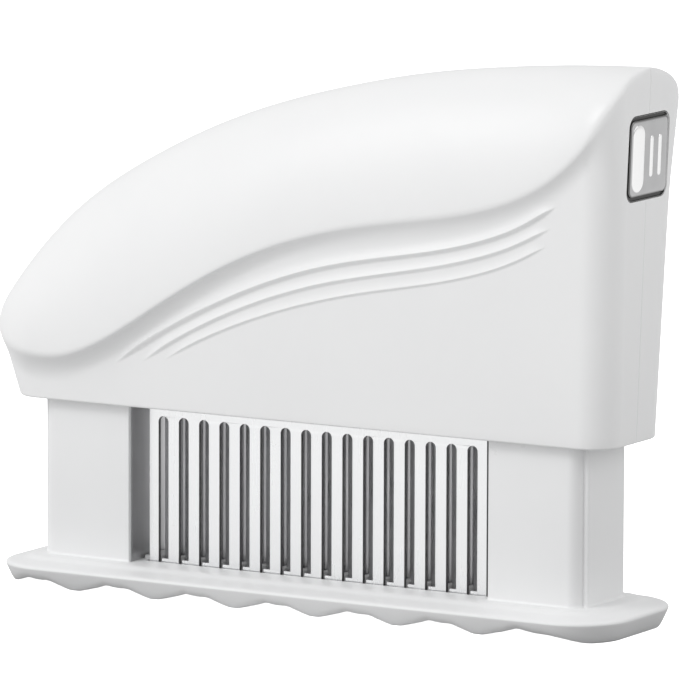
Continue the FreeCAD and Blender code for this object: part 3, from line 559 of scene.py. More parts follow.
def shell_grid():
    s = column_params()[:, None]
    cx, cy, cz = crease_pt(s, 0.0)
    rz = crown_at(s, np.full_like(s, math.pi / 2))[..., 2]
    rise = rz - cz
    # crown rows, from the ridge down
    ay = np.maximum(-cy, 1e-6)
    rows = [crown_at(s, np.full_like(s, math.pi / 2))]
    for y, c in ((0.05, 0.02), (0.12, 0.045), (0.2, 0.07), (0.3, 0.10)):
        rows.append(crown_at(s, np.arccos(np.minimum(y / ay, c))))
    th_top = np.arccos(np.minimum(0.3 / ay, 0.10))
    th_b = np.clip(1.25 / rise, 0.02, 0.5)
    for q in np.linspace(0, 1, 40)[1:]:
        # a little denser towards the crease
        rows.append(crown_at(s, th_top + (th_b - th_top) * (q * 1.15 - 0.15 * q * q)))
    B = crown_at(s, th_b)
    # wall levels
    xw = wall_at(s, cz - 4.0)[..., 0]
    h = cz - RIM_Z
    soft = 1 - smooth((s - 4.2) / 0.8)
    za = cz - (0.30 + 0.45 * soft) * smooth(0.3 + s / 0.5)
    zt = np.clip(LINES[0][0](xw, True) + 3.4, RIM_Z + 0.45 * h, cz - 1.6)
    zb = np.clip(LINES[2][0](xw, True) - 3.2, RIM_Z + 0.12 * h, zt - 0.22 * h)
    A = wall_at(s, za)
    C = np.stack([cx, cy, cz], -1)
    for t in (0.14, 0.28, 0.42, 0.56, 0.70, 0.85):
        rows.append(B * (1 - t) ** 2 + C * (2 * t * (1 - t)) + A * t * t)
    zr = RIM_Z + 0.5
    levels = []
    n1, n2, n3 = ((18, 86, 20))
    for q in np.linspace(0, 1, n1)[:-1]:
        levels.append(za + (zt - za) * q)
    for q in np.linspace(0, 1, n2)[:-1]:
        levels.append(zt + (zb - zt) * q)
    for q in np.linspace(0, 1, n3):
        levels.append(zb + (zr - zb) * q)
    n_rows_crown = len(rows)
    for z in levels:
        rows.append(wall_at(s, z))
    outer_n = len(rows)
    # rounded lower edge, rim, small inner edge
    for q in (22.5, 45, 67.5, 90):
        a = math.radians(q)
        rows.append(wall_at(s, np.full_like(s, RIM_Z + 0.5 - 0.5 * math.sin(a)), 0.5 * (1 - math.cos(a))))
    rows.append(wall_at(s, np.full_like(s, RIM_Z), WALL - 0.25))
    rows.append(wall_at(s, np.full_like(s, RIM_Z + 0.25), WALL))
    ci = crease_pt(s, WALL)[2]
    for q in (0.12, 0.3, 0.5, 0.68, 0.8, 0.88, 0.94, 1.0):
        rows.append(wall_at(s, RIM_Z + 0.25 + (ci - RIM_Z - 0.25) * q, WALL))
    for q in (0.12, 0.25, 0.4, 0.55, 0.7, 0.85, 1.0):
        rows.append(crown_at(s, np.full_like(s, math.pi / 2 * q), WALL))
    g = np.stack([r[:, 0, :] for r in rows], 1)      # columns, rows, 3
    g[..., 0] = np.maximum(g[..., 0], XLC)
    for e in (0, -1):
        g[e, :, 1] = 0.0
    g[:, 0, 1] = 0.0
    g[:, -1, 1] = 0.0
    # raised waves on the flat of the side
    w = g[:, n_rows_crown:outer_n]
    side = (s[:, 0] > 1.9) & (s[:, 0] < 3.3)
    hgt = wave_height(w[..., 0], w[..., 2]) * side[:, None]
    w[..., 1] -= hgt
    # parting line: a shallow V along the edge where the halves meet
    o = g[:, :outer_n]
    du = np.gradient(o, axis=0)
    dv = np.gradient(o, axis=1)
    nn = np.cross(du, dv)
    nn /= np.maximum(np.linalg.norm(nn, axis=-1, keepdims=True), 1e-9)
    mid = o.reshape(-1, 3).mean(0)
    if ((o - mid) * nn).sum() < 0:
        nn = -nn
    nn[..., 1] = 0.0
    dep = 0.16 * np.clip(1 - np.abs(o[..., 1]) / 0.24, 0, 1)
    o -= nn * dep[..., None]
    return g


def shell_mesh(g, flip):
    n, m = g.shape[:2]
    vs = g.reshape(-1, 3).copy()
    if flip:
        vs[:, 1] = -vs[:, 1]
    i = np.arange(n - 1)[:, None] * m + np.arange(m - 1)[None, :]
    quads = np.stack([i, i + 1, i + m + 1, i + m], -1).reshape(-1, 4)
    faces = [tuple(q) for q in quads.tolist()]
    loop = [k * m for k in range(n)]                                # outer ridge, left to right
    loop += [(n - 1) * m + k for k in range(1, m)]                  # right end, down and up again
    loop += [k * m + m - 1 for k in range(n - 2, -1, -1)]           # inner ridge, right to left
    loop += [k for k in range(m - 2, 0, -1)]                        # left end, back to the ridge
    tri = tessellate_polygon([[Vector((vs[k][0], vs[k][2], 0.0)) for k in loop]])
    faces += [(loop[a], loop[b], loop[c]) for a, b, c in tri]
    return vs, faces


GRID = shell_grid()


def pocket_cutter(a, b, r, x0, x1):
    ring = rounded_rect(b, a, r)          # along z, along y
    tilt = math.atan(LEAN)
    ct, st = math.cos(tilt), math.sin(tilt)
    bx = XR0 + LEAN * (BZ - RIM_Z)
    vs = []
    for x in (x0, x1):
        for zz, yy in ring:
            vs.append((bx + x * ct + zz * st, yy, BZ - x * st + zz * ct))
    n = len(ring)
    fs = [tuple(range(n)), tuple(range(2 * n - 1, n - 1, -1))]
    for i in range(n):
        j = (i + 1) % n
        fs.append((i, n + i, n + j, j))
    return vs, fs


shells = []
for nm, flip in (("front_shell_skin", False), ("rear_shell_skin", True)):
    vs, fs = shell_mesh(GRID, flip)
    ob = new_object(nm, vs, fs, None, None, M["housing_plastic"])
    tidy(ob)
    ps = []
    pv, pf = pocket_cutter(8.95, 9.25, 2.6, -1.2, 4.0)
    cutter = raw("cutter", pv, pf)
    tidy(cutter)
    cut_away(ob, cutter)
    if flip:
        parts = [cyl_mesh(x, 7.4, z, 2.3, 22.6, 36, "y") for x, z in BOSSES]
        cutter = raw("cutter", *joined(parts))
        tidy(cutter)
        cut_away(ob, cutter)
    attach(ob, "handle")
    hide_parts("rear_shell" if flip else "front_shell")
    shade(ob, 34.0)
    shells.append(ob)


def shell_tree(ob):
    return BVHTree.FromPolygons([v.co.copy() for v in ob.data.vertices],
                                [tuple(p.vertices) for p in ob.data.polygons])


# screw bosses seen down the holes of the rear shell
tree_parts = []
outer_only = GRID[:, :-17]
ys = []
for bi, (x, z) in enumerate(BOSSES):
    n = 40
    w = GRID.reshape(-1, 3)
    vs, fs = [], []

    def wall_y(px, pz):
        inner = GRID[:, -15:].reshape(-1, 3)
        d = (inner[:, 0] - px) ** 2 + (inner[:, 2] - pz) ** 2
        k = np.argsort(d)[:4]
        return -float(inner[k, 1].mean())
    for i in range(n):
        a = 2 * math.pi * i / n
        c, sn = math.cos(a), math.sin(a)
        y3 = wall_y(x + 3.1 * c, z + 3.1 * sn) + 0.5
        y2 = wall_y(x + 2.3 * c, z + 2.3 * sn) + 0.5
        for r, y in ((1.2, 0.0), (3.1, 0.0), (3.1, y3), (2.3, y2), (2.3, 7.7), (2.1, 7.5), (1.2, 7.5)):
            vs.append((x + r * c, y, z + r * sn))
    for i in range(n):
        j = (i + 1) % n
        for k in range(7):
            l = (k + 1) % 7
            fs.append((i * 7 + k, i * 7 + l, j * 7 + l, j * 7 + k))
    tree_parts.append((vs, fs))
bosses = new_object("rear_shell_bosses", *joined(tree_parts), "handle", "housing_plastic", M["housing_plastic"])
tidy(bosses)
shade(bosses, 34.0)

# floors inside the rim
for nm, sg in (("front_shell_floor", 1.0), ("rear_shell_floor", -1.0)):
    ss = np.concatenate([np.linspace(0, 1, 6), np.linspace(1, 2, 12)[1:], [3.0], np.linspace(3, 4, 12)[1:],
                         np.linspace(4, 5, 6)[1:]])
    edge = wall_at(ss, np.full_like(ss, 45.0), 1.2)[:, :2]
    inner = [(68.75, 0.0), (68.75, -11.1), (44.4, -11.1), (44.4, -7.0), (-44.4, -7.0), (-44.4, -11.1),
             (-68.75, -11.1), (-68.75, 0.0)]
    ring = [(x, y) for x, y in edge] + inner
    ring = [(x, y * sg) for x, y in ring]
    n = len(ring)
    vs = [(x, y, FLOOR_Z0) for x, y in ring] + [(x, y, FLOOR_Z1) for x, y in ring]
    tri = tessellate_polygon([[Vector((x, y, 0)) for x, y in ring]])
    fs = [(a, b, c) for a, b, c in tri] + [(n + a, n + c, n + b) for a, b, c in tri]
    fs += [(i, (i + 1) % n, n + (i + 1) % n, n + i) for i in range(n)]
    fl = new_object(nm, vs, fs, "handle", "housing_plastic", M["housing_plastic"])
    tidy(fl)
    shade(fl, 34.0)

# ---------------------------------------------------------------------------
# Foot
# ---------------------------------------------------------------------------
FA, FB, FR, FX = 77.7, 19.8, 12.6, 0.4
WAVE_P, WAVE_0 = 20.39, 6.0
NOTCH = Spline([(0.8, 0.0), (2.0, 0.22), (3.2, 0.50), (4.5, 0.86), (5.7, 1.17), (7.0, 1.56), (8.2, 1.94),
                (9.0, 2.05), (10.0, 1.93), (11.3, 1.79), (12.6, 1.75), (13.7, 1.78), (14.6, 1.64), (15.8, 1.22),
                (17.0, 0.78), (18.3, 0.34), (19.1, 0.10), (19.6, 0.0)], 0.0, 0.0)
NOTCH_END = Spline([(0.8, 0.0), (2.0, 0.22), (3.2, 0.50), (4.5, 0.86), (5.7, 1.10), (6.9, 1.44), (8.1, 1.80),
                    (9.4, 2.18), (10.4, 2.32), (11.6, 2.12), (12.8, 1.90), (14.3, 1.70), (15.7, 1.62), (17.2, 1.56),
                    (18.6, 1.43), (20.0, 1.23), (21.3, 0.98), (22.6, 0.70), (23.8, 0.42), (25.0, 0.18), (26.2, 0.03),
                    (26.8, 0.0)], 0.0, 0.0)


def foot_wave(x):
    """Height of the wavy lower edge at X."""
    x = np.asarray(x, float)
    k = np.floor((x - WAVE_0) / WAVE_P)
    u = x - WAVE_0 - k * WAVE_P
    last = x > WAVE_0 + 2 * WAVE_P
    u = np.where(last, x - WAVE_0 - 2 * WAVE_P, u)
    z = np.where(last, np.where((u > 0.8) & (u < 26.8), NOTCH_END(u), 0.0),
                 np.where((u > 0.8) & (u < 19.6), NOTCH(u), 0.0))
    return np.where(k < -4, 0.0, np.maximum(z, 0.0))


def foot_mesh():
    # half outline at unit inset, from the middle of the left end through the
    # front to the middle of the right end
    def ring(inset):
        a, b, r = FA - inset, FB - inset, max(FR - inset, 0.8)
        p = []
        for q in np.linspace(0, 1, 8)[:-1]:
            p.append((-a, -(b - r) * q))
        for q in np.linspace(0, 1, 22)[:-1]:
            t = q * math.pi / 2
            p.append((-a + r - r * math.cos(t), -(b - r) - r * math.sin(t)))
        ns = 300
        for q in np.linspace(0, 1, ns)[:-1]:
            p.append((-(a - r) + 2 * (a - r) * q, -b))
        for q in np.linspace(0, 1, 22)[:-1]:
            t = q * math.pi / 2
            p.append((a - r + r * math.sin(t), -(b - r) - r * math.cos(t)))
        for q in np.linspace(1, 0, 8):
            p.append((a, -(b - r) * q))
        return np.array(p) + (FX, 0.0)
    n_h = len(ring(0.0))
    # the side from the wavy lower edge to the widest line
    low = ring(1.9)
    zw = foot_wave(low[:, 0])
    top_z = 4.2
    p0, p1 = ring(0.0), ring(3.0)
    d = p1 - p0
    d /= np.linalg.norm(d, axis=1)[:, None]

    def at(inset, z):
        p = ring(inset)
        return np.column_stack([p, np.broadcast_to(z, len(p))])

    def skirt(up):
        """At a height above the lower edge; the side rolls in towards the edge, more so in the notches."""
        z = zw + np.minimum(up, (top_z - zw) * up / 4.2)
        roll = (0.18 + 0.40 * zw / 2.1) * np.clip(1 - (z - zw) / 1.5, 0, 1) ** 2
        i = 1.9 * (1 - np.minimum(z, 4.15) / 4.15) ** 1.1 + roll
        return np.column_stack([p0 + d * i[:, None], z])
    edge = skirt(0.0)
    under_in = edge.copy()
    under_in[:, :2] += d * 0.55
    mid = edge.copy()
    mid[:, :2] += d * 0.16
    mid[:, 2] += 0.02
    s1 = skirt(0.3)
    mid2 = (edge + s1) / 2
    mid2[:, :2] += d * 0.02
    mid[:, 2] += 0.03
    rows = [under_in, mid, mid2, s1]
    for q in (0.6, 0.95, 1.35, 1.8, 2.4, 3.1, 3.7, 4.05):
        rows.append(skirt(q))
    # rounded rim, then the sloping top with a soft step up to the middle
    prof = [(0.0, 4.18), (0.05, 4.36), (0.16, 4.54), (0.33, 4.69), (0.58, 4.81), (0.92, 4.91), (1.4, 5.0),
            (2.0, 5.085), (2.8, 5.195), (3.5, 5.30), (4.0, 5.39), (4.6, 5.54), (5.0, 5.71), (5.35, 5.89),
            (5.7, 6.05), (6.1, 6.16), (6.6, 6.23), (7.3, 6.28), (8.6, 6.30)]
    for i, z in prof:
        rows.append(at(i, z))
    g = np.stack(rows, 0)                        # rows, half outline, 3
    nr, nh = g.shape[:2]
    rear = g[:, ::-1].copy()
    rear[..., 1] *= -1
    full = np.concatenate([g, rear[:, 1:-1]], 1)  # closed rings
    nf = full.shape[1]
    vs = full.reshape(-1, 3)
    fs = []
    for r in range(nr - 1):
        for c in range(nf):
            e = (c + 1) % nf
            fs.append((r * nf + c, r * nf + e, (r + 1) * nf + e, (r + 1) * nf + c))
    top = [(nr - 1) * nf + c for c in range(nf)]
    fs.append(tuple(top))
    # underside: strips from front to rear
    xs = full[0, :, 0]

    def rear_of(c):
        return (2 * nh - 2 - c) % nf
    ends_l = [c for c in range(nh) if abs(xs[c] - xs[0]) < 1e-6]
    ends_r = [c for c in range(nh) if abs(xs[c] - xs[nh - 1]) < 1e-6]
    a, b = ends_l[-1], ends_r[0]
    fs.append(tuple([rear_of(c) for c in reversed(ends_l)] + [c for c in ends_l[1:]] + [a + 1, rear_of(a + 1)]))
    for c in range(a + 1, b - 1):
        fs.append((rear_of(c), c, c + 1, rear_of(c + 1)))
    fs.append(tuple([rear_of(b - 1), b - 1] + [c for c in ends_r] + [rear_of(c) for c in reversed(ends_r[:-1])]))
    return vs, fs


fv, ff = foot_mesh()
foot = new_object("foot", fv, ff, None, None, M["foot_plastic"])
tidy(foot)
# the raised middle that the blades pass through
ring_out, pv, pf = rounded_rect(44.7, 5.4, 0.6, 5), [], []
for off, z in ((0.0, 5.6), (0.0, 7.0), (0.06, 7.11), (0.15, 7.15)):
    pv += [(x * (1 - off / 44.7), y * (1 - off / 5.4), z) for x, y in ring_out]
nr = len(ring_out)
for lv in range(3):
    for i in range(nr):
        j = (i + 1) % nr
        pf.append((lv * nr + i, lv * nr + j, (lv + 1) * nr + j, (lv + 1) * nr + i))
pf += [tuple(range(nr))[::-1], tuple(range(3 * nr, 4 * nr))]
middle = raw("middle", pv, pf)
tidy(middle)
cut_away(foot, middle, operation="UNION")
parts = []
for yr in ROW_Y:
    for k in range(N_BLADES):
        xc = (k - 7.5) * PITCH
        parts.append((box_verts(xc - 1.6, xc + 1.6, yr - 0.8, yr + 0.8, -1, 8), box_faces(0)))
cross = []
for k in range(N_BLADES):
    xc = (k - 7.5) * PITCH
    cross.append((box_verts(xc - 1.6, xc + 1.6, -5.5, 5.5, 5.0, 8), box_faces(0)))
cutter = raw("cutter", *joined(cross))
tidy(cutter)
cut_away(foot, cutter)
for sg in (-1, 1):
    y0, y1 = sorted((sg * 5.45, sg * 7.1))
    parts.append((box_verts(-43.3, 43.3, y0, y1, 5.3, 8), box_faces(0)))
    x0, x1 = sorted((sg * 45.25, sg * 45.85))
    parts.append((box_verts(x0, x1, -9.95, 9.95, 4.2, 8), box_faces(0)))
    for cx, cy in ((50.4, 6.3), (63.3, -6.3)):
        parts.append(cyl_mesh(sg * cx, cy, -1.0, 2.4, 5.0))
cutter = raw("cutter", *joined(parts))
tidy(cutter)
cut_away(foot, cutter)
parts = []
for sg in (-1, 1):
    y0, y1 = sorted((sg * 5.45, sg * 6.55))
    parts.append((box_verts(-43.0, 43.0, y0, y1, 3.8, 6.0), box_faces(0)))
    for cx, cy in ((50.4, 6.3), (63.3, -6.3)):
        parts.append(cyl_mesh(sg * cx, cy, 3.5, 1.25, 5.0))
cutter = raw("cutter", *joined(parts))
tidy(cutter)
cut_away(foot, cutter)
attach(foot, "base")
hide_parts("base_plate")
shade(foot, 32.0)


# ---------------------------------------------------------------------------
# Legs
# ---------------------------------------------------------------------------
def round_poly(pts, n=9):
    """Outline through (x, y, radius) corners with arcs in them."""
    out = []
    m = len(pts)
    for i in range(m):
        p = np.array(pts[i][:2])
        r = pts[i][2]
        if r <= 0:
            out.append(tuple(p))
            continue
        a = np.array(pts[i - 1][:2]) - p
        b = np.array(pts[(i + 1) % m][:2]) - p
        a /= np.linalg.norm(a)
        b /= np.linalg.norm(b)
        half = math.acos(float(np.clip(a @ b, -1, 1))) / 2
        t = r / math.tan(half)
        c = p + (a + b) / np.linalg.norm(a + b) * (r / math.sin(half))
        q0, q1 = p + a * t - c, p + b * t - c
        a0 = math.atan2(q0[1], q0[0])
        da = (math.atan2(q1[1], q1[0]) - a0 + math.pi) % (2 * math.pi) - math.pi
        for k in range(n + 1):
            w = a0 + da * k / n
            out.append((c[0] + r * math.cos(w), c[1] + r * math.sin(w)))
    return out


def leg_outline():
    body = round_poly([(45.3, -10.8, 0.25), (67.2, -10.8, 2.6), (67.2, -8.15, 0.05), (68.4, -8.15, 0.55),
                       (68.4, 8.15, 0.55), (67.2, 8.15, 0.05), (67.2, 10.8, 2.6), (45.3, 10.8, 0.25)])
    return body, [(45.3, 9.95), (45.82, 9.95), (45.82, -9.95), (45.3, -9.95)]


for nm, sg in (("left", -1), ("right", 1)):
    body, pocket = leg_outline()
    nb = len(body)
    bp = np.array(body)
    # outward direction at each point of the outline
    t = np.roll(bp, -1, 0) - np.roll(bp, 1, 0)
    t[0], t[-1] = bp[1] - bp[0], bp[-1] - bp[-2]
    t /= np.linalg.norm(t, axis=1)[:, None]
    nrm = np.column_stack([t[:, 1], -t[:, 0]])
    nrm[0], nrm[-1] = (-1, 0), (-1, 0)
    vs, fs = [], []
    zs = [(6.1, 0.42), (6.3, 0.40), (6.38, 0.26), (6.5, 0.15), (6.68, 0.06), (6.9, 0.01), (7.2, 0.0)]
    zs += [(z, 0.0) for z in np.linspace(9.0, 45.0, 10)] + [(46.55, 0.0), (46.72, -0.07), (46.8, -0.25)]
    for z, off in zs:
        ring = [tuple(q) for q in bp + nrm * off] + pocket
        vs += [(sg * x, y, z) for x, y in ring]
    m = nb + 4
    for lv in range(len(zs) - 1):
        for i in range(m):
            j = (i + 1) % m
            fs.append((lv * m + i, lv * m + j, (lv + 1) * m + j, (lv + 1) * m + i))
    ring = [(x, y) for x, y in bp + nrm * zs[0][1]] + pocket
    tri = tessellate_polygon([[Vector((x, y, 0)) for x, y in ring]])
    fs += list(tri)
    last = (len(zs) - 1) * m
    fs += [(last + a, last + c, last + b) for a, b, c in tri]
    leg = new_object(nm + "_leg_skin", vs, fs, None, None, M["leg_plastic"])
    tidy(leg)
    cav_v, cav_f = [], []
    ring = [(56.4 + x, y) for x, y in rounded_rect(8.8, 8.6, 1.5, 6)]
    nr = len(ring)
    cav_v = [(sg * x, y, 9.5) for x, y in ring] + [(sg * x, y, 48.0) for x, y in ring]
    cav_f = [tuple(range(nr)), tuple(range(2 * nr - 1, nr - 1, -1))]
    cav_f += [(i, nr + i, nr + (i + 1) % nr, (i + 1) % nr) for i in range(nr)]
    cavity = raw("cavity", cav_v, cav_f)
    tidy(cavity)
    for cx, cy in ((50.4, 6.3), (63.3, -6.3)):
        blk = raw("blk", *cyl_mesh(sg * cx, cy, 8.0, 2.1, 42.0, 32))
        tidy(blk)
        cut_away(cavity, blk)
        y0, y1 = sorted((cy, 10.0 if cy > 0 else -10.0))
        web = raw("web", box_verts(sg * cx - 1.0, sg * cx + 1.0, y0, y1, 8.0, 50.0), box_faces(0))
        tidy(web)
        cut_away(cavity, web)
    cut_away(leg, cavity)
    holes = raw("holes", *joined([cyl_mesh(sg * cx, cy, 5.0, 1.25, 13.3, 28) for cx, cy in ((50.4, 6.3), (63.3, -6.3))]
                                 + [cyl_mesh(sg * cx, cy, 38.0, 1.15, 12.0, 28)
                                    for cx, cy in ((50.4, 6.3), (63.3, -6.3))]))
    tidy(holes)
    cut_away(leg, holes)
    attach(leg, "base")
    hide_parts(nm + "_leg")
    shade(leg, 32.0)


# ---------------------------------------------------------------------------
# Toes of the comb teeth: each tooth reaches across its slot just above the
# foot and leaves a narrow notch at the slot's left side
# ---------------------------------------------------------------------------
toe_parts = []
for y0, y1 in ((-6.48, -5.52), (5.52, 6.48)):
    for i in range(N_BLADES):
        xc = PITCH * (i - (N_BLADES - 1) / 2)
        poly = [(xc - 0.37, 5.6), (xc + 1.29, 5.6), (xc + 1.29, 7.05), (xc - 0.27, 7.05), (xc - 0.37, 6.95)]
        n = len(poly)
        vs = [(x, y0, z) for x, z in poly] + [(x, y1, z) for x, z in poly]
        fs = [tuple(range(n)), tuple(range(2 * n - 1, n - 1, -1))]
        fs += [(j, j + n, (j + 1) % n + n, (j + 1) % n) for j in range(n)]
        toe_parts.append((vs, fs))
toes = new_object("guard_plate_toes", *joined(toe_parts), "base", "guard_steel", M["guard_steel"])


# ---------------------------------------------------------------------------
# Badge: a tray with a thin lip in its pocket, painted near black on its left, top and bottom as
# painted shade, a domed plate, a broad upright bar and two slim ones
# ---------------------------------------------------------------------------
def on_end(rings):
    """Closed mesh through rings of (x out of the face, y, z from the badge's middle)."""
    tilt = math.atan(LEAN)
    ct, st = math.cos(tilt), math.sin(tilt)
    bx = XR0 + LEAN * (BZ - RIM_Z)
    vs = []
    for ring in rings:
        for x, y, z in ring:
            vs.append((bx + x * ct + z * st, y, BZ - x * st + z * ct))
    n = len(rings[0])
    fs = [tuple(range(n)), tuple(range(len(vs) - 1, len(vs) - n - 1, -1))]
    for lv in range(len(rings) - 1):
        for i in range(n):
            j = (i + 1) % n
            fs.append((lv * n + i, (lv + 1) * n + i, (lv + 1) * n + j, lv * n + j))
    return vs, fs


def pill(a, b, r, prof, cy=0.0, cz=0.0, n=10, wide=0.0):
    rings = []
    for inset, x in prof:
        rr = max(r - inset, 0.05)
        e = wide if inset > 0.5 else 0.0
        rings.append([(x, cy + e + y, cz + z) for y, z in rounded_rect(a - inset + e, b - inset, rr, n)])
    return on_end(rings)


plate = new_object("end_badge_plate", *pill(8.8, 9.1, 2.45, [
    (0.0, -1.18), (0.0, -0.06), (0.02, -0.03), (0.06, -0.015), (0.12, -0.03), (0.15, -0.06), (0.16, -0.28),
    (0.18, -0.33), (0.24, -0.35), (0.80, -0.35), (0.86, -0.33), (0.89, -0.28), (0.90, -0.16), (0.92, -0.05),
    (0.97, 0.02), (1.05, 0.07), (1.18, 0.115), (1.4, 0.15), (1.9, 0.18), (2.8, 0.20), (4.5, 0.215), (7.6, 0.22)],
    wide=0.25),
    None, None, M["badge_metal"])
tidy(plate)
shade(plate, 50.0)
soft = [(0.0, 0.02), (0.0, 0.12), (0.03, 0.19), (0.10, 0.26), (0.22, 0.32), (0.42, 0.37), (0.68, 0.40), (0.94, 0.41)]
slim = [(0.0, 0.02), (0.0, 0.16), (0.05, 0.23), (0.14, 0.28), (0.28, 0.31), (0.50, 0.33), (0.64, 0.335)]
parts = [pill(2.8, 7.4, 2.7, [(i * 2.7, x) for i, x in soft], cy=-4.55, n=14)]
for cy in (1.2, 4.8):
    parts.append(pill(0.8, 4.5, 0.78, slim, cy=cy))
bars = new_object("end_badge_bars", *joined(parts), None, None, M["badge_metal"])
tidy(bars)
shade(bars, 50.0)
for ob in (plate, bars):
    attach(ob, "handle")
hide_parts("end_badge")


# ---------------------------------------------------------------------------
# Springs
# ---------------------------------------------------------------------------
def helix(xc, r, wire, z0, z1, turns, per=40, sides=14):
    n = int(turns * per)
    vs, fs = [], []
    for i in range(n + 1):
        t = i / n
        # closed turns at both ends, open ones between
        a = 2 * math.pi * turns * t
        e = 1.0 / turns
        lift = 0.0
        if t < e:
            q = t / e
            lift = q * q / (2 * (1 - e))
            zz = lift * e
        elif t > 1 - e:
            q = (1 - t) / e
            zz = 1 - (q * q / (2 * (1 - e))) * e
        else:
            zz = (t - e / 2) / (1 - e)
        c, sn = math.cos(a), math.sin(a)
        z = z0 + (z1 - z0) * zz
        for k in range(sides):
            b = 2 * math.pi * k / sides
            rr = r + wire * math.cos(b)
            vs.append((xc + rr * c, rr * sn, z + wire * math.sin(b)))
    for i in range(n):
        for k in range(sides):
            l = (k + 1) % sides
            fs.append((i * sides + k, (i + 1) * sides + k, (i + 1) * sides + l, i * sides + l))
    fs.append(tuple(range(sides)))
    fs.append(tuple((n * sides + k) for k in range(sides - 1, -1, -1)))
    return vs, fs


for nm, sg in (("left", -1), ("right", 1)):
    vs, fs = helix(sg * 56.85, 5.6, 0.65, 10.2, 51.3, 8.5)
    sp = new_object(nm + "_spring_wire", vs, fs, None, None, M["spring_steel"], 60.0)
    tidy(sp)
    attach(sp, "base")
    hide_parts(nm + "_spring")
    shade(sp, 60.0)
    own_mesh(sp)

# ---------------------------------------------------------------------------
# Small rounding on the edges of the plain CAD parts
# ---------------------------------------------------------------------------
for name, width in (("front_guard_plate", 0.00009), ("rear_guard_plate", 0.00009),
                    ("left_cheek_plate", 0.00006), ("right_cheek_plate", 0.00006)):
    ob = NODES[name]
    w = ob.modifiers.new("weld", "WELD")
    w.merge_threshold = 1e-7
    b = ob.modifiers.new("bevel", "BEVEL")
    b.width = width
    b.segments = 3
    b.limit_method = "ANGLE"
    b.angle_limit = math.radians(40)
    b.use_clamp_overlap = True
    b.harden_normals = False


# ---------------------------------------------------------------------------
# Floor, light and camera
# ---------------------------------------------------------------------------
def disc(name, z, colour_a, colour_b):
    n = 96
    vs = [(0.0, 0.0, z)]
    fs = []
    rings = (0.3, 0.8, 2.0, 4.5, 9.0)
    for q in rings:
        for i in range(n):
            a = 2 * math.pi * i / n
            vs.append((q * math.cos(a), q * math.sin(a), z))
    for i in range(n):
        fs.append((0, 1 + i, 1 + (i + 1) % n))
    for k in range(len(rings) - 1):
        for i in range(n):
            j = (i + 1) % n
            fs.append((1 + k * n + i, 1 + (k + 1) * n + i, 1 + (k + 1) * n + j, 1 + k * n + j))
    me = bpy.data.meshes.new(name)
    me.from_pydata(vs, [], fs)
    me.update()
    ob = bpy.data.objects.new(name, me)
    bpy.context.scene.collection.objects.link(ob)
    k = Mat(name + "_paper")
    c = k.noise(6.0, 4.0, 0.6)
    k.l(k.mix(c, colour_a, colour_b), k.b.inputs["Base Color"])
    k.b.inputs["Roughness"].default_value = 0.9
    k.b.inputs["Specular IOR Level"].default_value = 0.1
    me.materials.append(k.m)
    return ob


# white paper for the camera, a grey card in its place for the light that
# bounces up, with painted shade on it: darker under and close round the foot,
# darkest at the foot's +X end, and a pale one for what the polished steel mirrors
floor = disc("floor", -0.00002, (0.93, 0.93, 0.93), (0.95, 0.95, 0.95))
floor.visible_diffuse = False
floor.visible_glossy = False
floor.visible_shadow = False
mirror_card = disc("mirror_card", -0.00004, (0.77, 0.77, 0.77), (0.79, 0.79, 0.79))
mirror_card.visible_camera = False
mirror_card.visible_diffuse = False
mirror_card.visible_shadow = False
bounce = disc("bounce_card", -0.00006, (0.54, 0.54, 0.54), (0.56, 0.56, 0.56))
bounce.visible_camera = False
bounce.visible_glossy = False
k = Mat("bounce_card_shaded")
sep = k.n("ShaderNodeSeparateXYZ")
k.l(k.co, sep.inputs[0])
# painted shade on the bounce card: inside an oval round the foot it is 0.30 at the -X end, 0.54 in the middle and 0.22
# at the +X end, against 0.70 further out
near = k.math("SQRT", k.math("ADD", k.math("POWER", k.math("MULTIPLY", sep.outputs[0], 1 / 0.100), 2.0),
                             k.math("POWER", k.math("MULTIPLY", sep.outputs[1], 1 / 0.042), 2.0)), 0.0)
close = k.mix(k.span(sep.outputs[0], 0.0, 1.0, -0.07, -0.01), (0.30, 0.30, 0.30), (0.54, 0.54, 0.54))
close = k.mix(k.span(sep.outputs[0], 0.0, 1.0, 0.02, 0.09), close, (0.22, 0.22, 0.22))
k.l(k.mix(k.span(near, 0.0, 1.0, 0.9, 2.4), close, (0.70, 0.70, 0.70)), k.b.inputs["Base Color"])
k.b.inputs["Roughness"].default_value = 0.9
k.b.inputs["Specular IOR Level"].default_value = 0.1
bounce.data.materials[0] = k.m
k = Mat("mirror_card_shaded")
sep = k.n("ShaderNodeSeparateXYZ")
k.l(k.co, sep.inputs[0])
k.l(k.mix(k.span(sep.outputs[1], 0.0, 1.0, 0.02, 0.14), (0.98, 0.98, 0.98), (0.99, 0.99, 0.99)),
    k.b.inputs["Base Color"])
k.b.inputs["Roughness"].default_value = 0.9
k.b.inputs["Specular IOR Level"].default_value = 0.1
mirror_card.data.materials[0] = k.m


def area(name, loc, target, size, power, shape="RECTANGLE", size_y=None):
    li = bpy.data.lights.new(name, "AREA")
    li.shape = shape
    li.size = size
    if size_y:
        li.size_y = size_y
    li.energy = power
    ob = bpy.data.objects.new(name, li)
    bpy.context.scene.collection.objects.link(ob)
    ob.location = loc
    d = Vector(target) - Vector(loc)
    ob.rotation_mode = "QUATERNION"
    ob.rotation_quaternion = d.to_track_quat("-Z", "Y")
    return ob


def lamp_at(name, azimuth, elevation, dist, size, size_y, power):
    """A soft box seen from the object at that azimuth (0 is -Y, 90 is +X) and elevation."""
    q, e = math.radians(azimuth), math.radians(elevation)
    loc = (dist * math.sin(q) * math.cos(e), -dist * math.cos(q) * math.cos(e), 0.06 + dist * math.sin(e))
    return area(name, loc, (0, 0, 0.06), size, power, size_y=size_y)


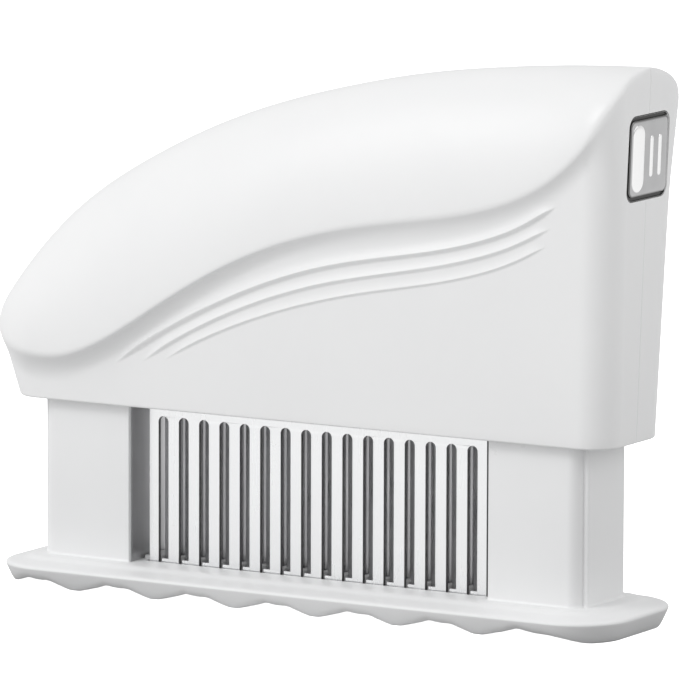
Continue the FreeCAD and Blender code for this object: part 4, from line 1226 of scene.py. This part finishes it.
area("top_box", (-0.10, 0.10, 1.6), (0, 0, 0.05), 1.7, 0.8, size_y=1.5)
lamp_at("key_box", -34, 40, 2.0, 1.2, 1.0, 8.3)
lamp_at("small_key", -28, 39, 2.0, 0.40, 0.40, 4.2)
lamp_at("low_box", -30, 20, 2.0, 1.2, 1.0, 2.9)
lamp_at("side_box", 118, 25, 2.0, 1.2, 1.0, 5.0)

# a very soft overhead wash for the paper alone
wash = bpy.data.lights.new("paper_wash", "SUN")
wash.energy = 3.9
wash.use_shadow = False
wash.angle = 0.0
wash_ob = bpy.data.objects.new("paper_wash", wash)
bpy.context.scene.collection.objects.link(wash_ob)
wash_ob.location = (0, 0, 2)
paper_only = bpy.data.collections.new("paper_only")
paper_only.objects.link(floor)
wash_ob.light_linking.receiver_collection = paper_only

world = bpy.data.worlds.new("studio")
bpy.context.scene.world = world
world.use_nodes = True
bg = world.node_tree.nodes["Background"]
bg.inputs["Color"].default_value = (1.0, 1.0, 1.0, 1.0)
bg.inputs["Strength"].default_value = 0.695

# camera: fitted to the photograph
az, el, roll, dist = math.radians(30.56), math.radians(8.4), math.radians(0.16), 1889.0
back = Vector((math.sin(az) * math.cos(el), -math.cos(az) * math.cos(el), math.sin(el)))
right = Vector((math.cos(az), math.sin(az), 0.0))
up = back.cross(right)
fpx = 4.602 * dist
du, dv = 340.0 - 331.9, 340.0 - 330.0
cr, sr = math.cos(roll), math.sin(roll)
u, w = du * cr + dv * sr, -du * sr + dv * cr
fwd = (-back + right * (u / fpx) + up * (-w / fpx)).normalized()
img_x = right * cr + up * sr
zc = -fwd
xc = (img_x - zc * img_x.dot(zc)).normalized()
yc = zc.cross(xc)
cam_data = bpy.data.cameras.new("camera")
cam = bpy.data.objects.new("camera", cam_data)
bpy.context.scene.collection.objects.link(cam)
rot = Matrix((xc, yc, zc)).transposed()
cam.matrix_world = Matrix.Translation((Vector((X_SHIFT, 0, 60.0)) + back * dist) * 0.001) @ rot.to_4x4()
cam_data.sensor_width = 36.0
cam_data.lens = fpx * 36.0 / 680.0
cam_data.clip_start, cam_data.clip_end = 0.05, 60.0
bpy.context.scene.camera = cam

bpy.context.scene.view_settings.view_transform = "Standard"
bpy.context.scene.view_settings.look = "None"
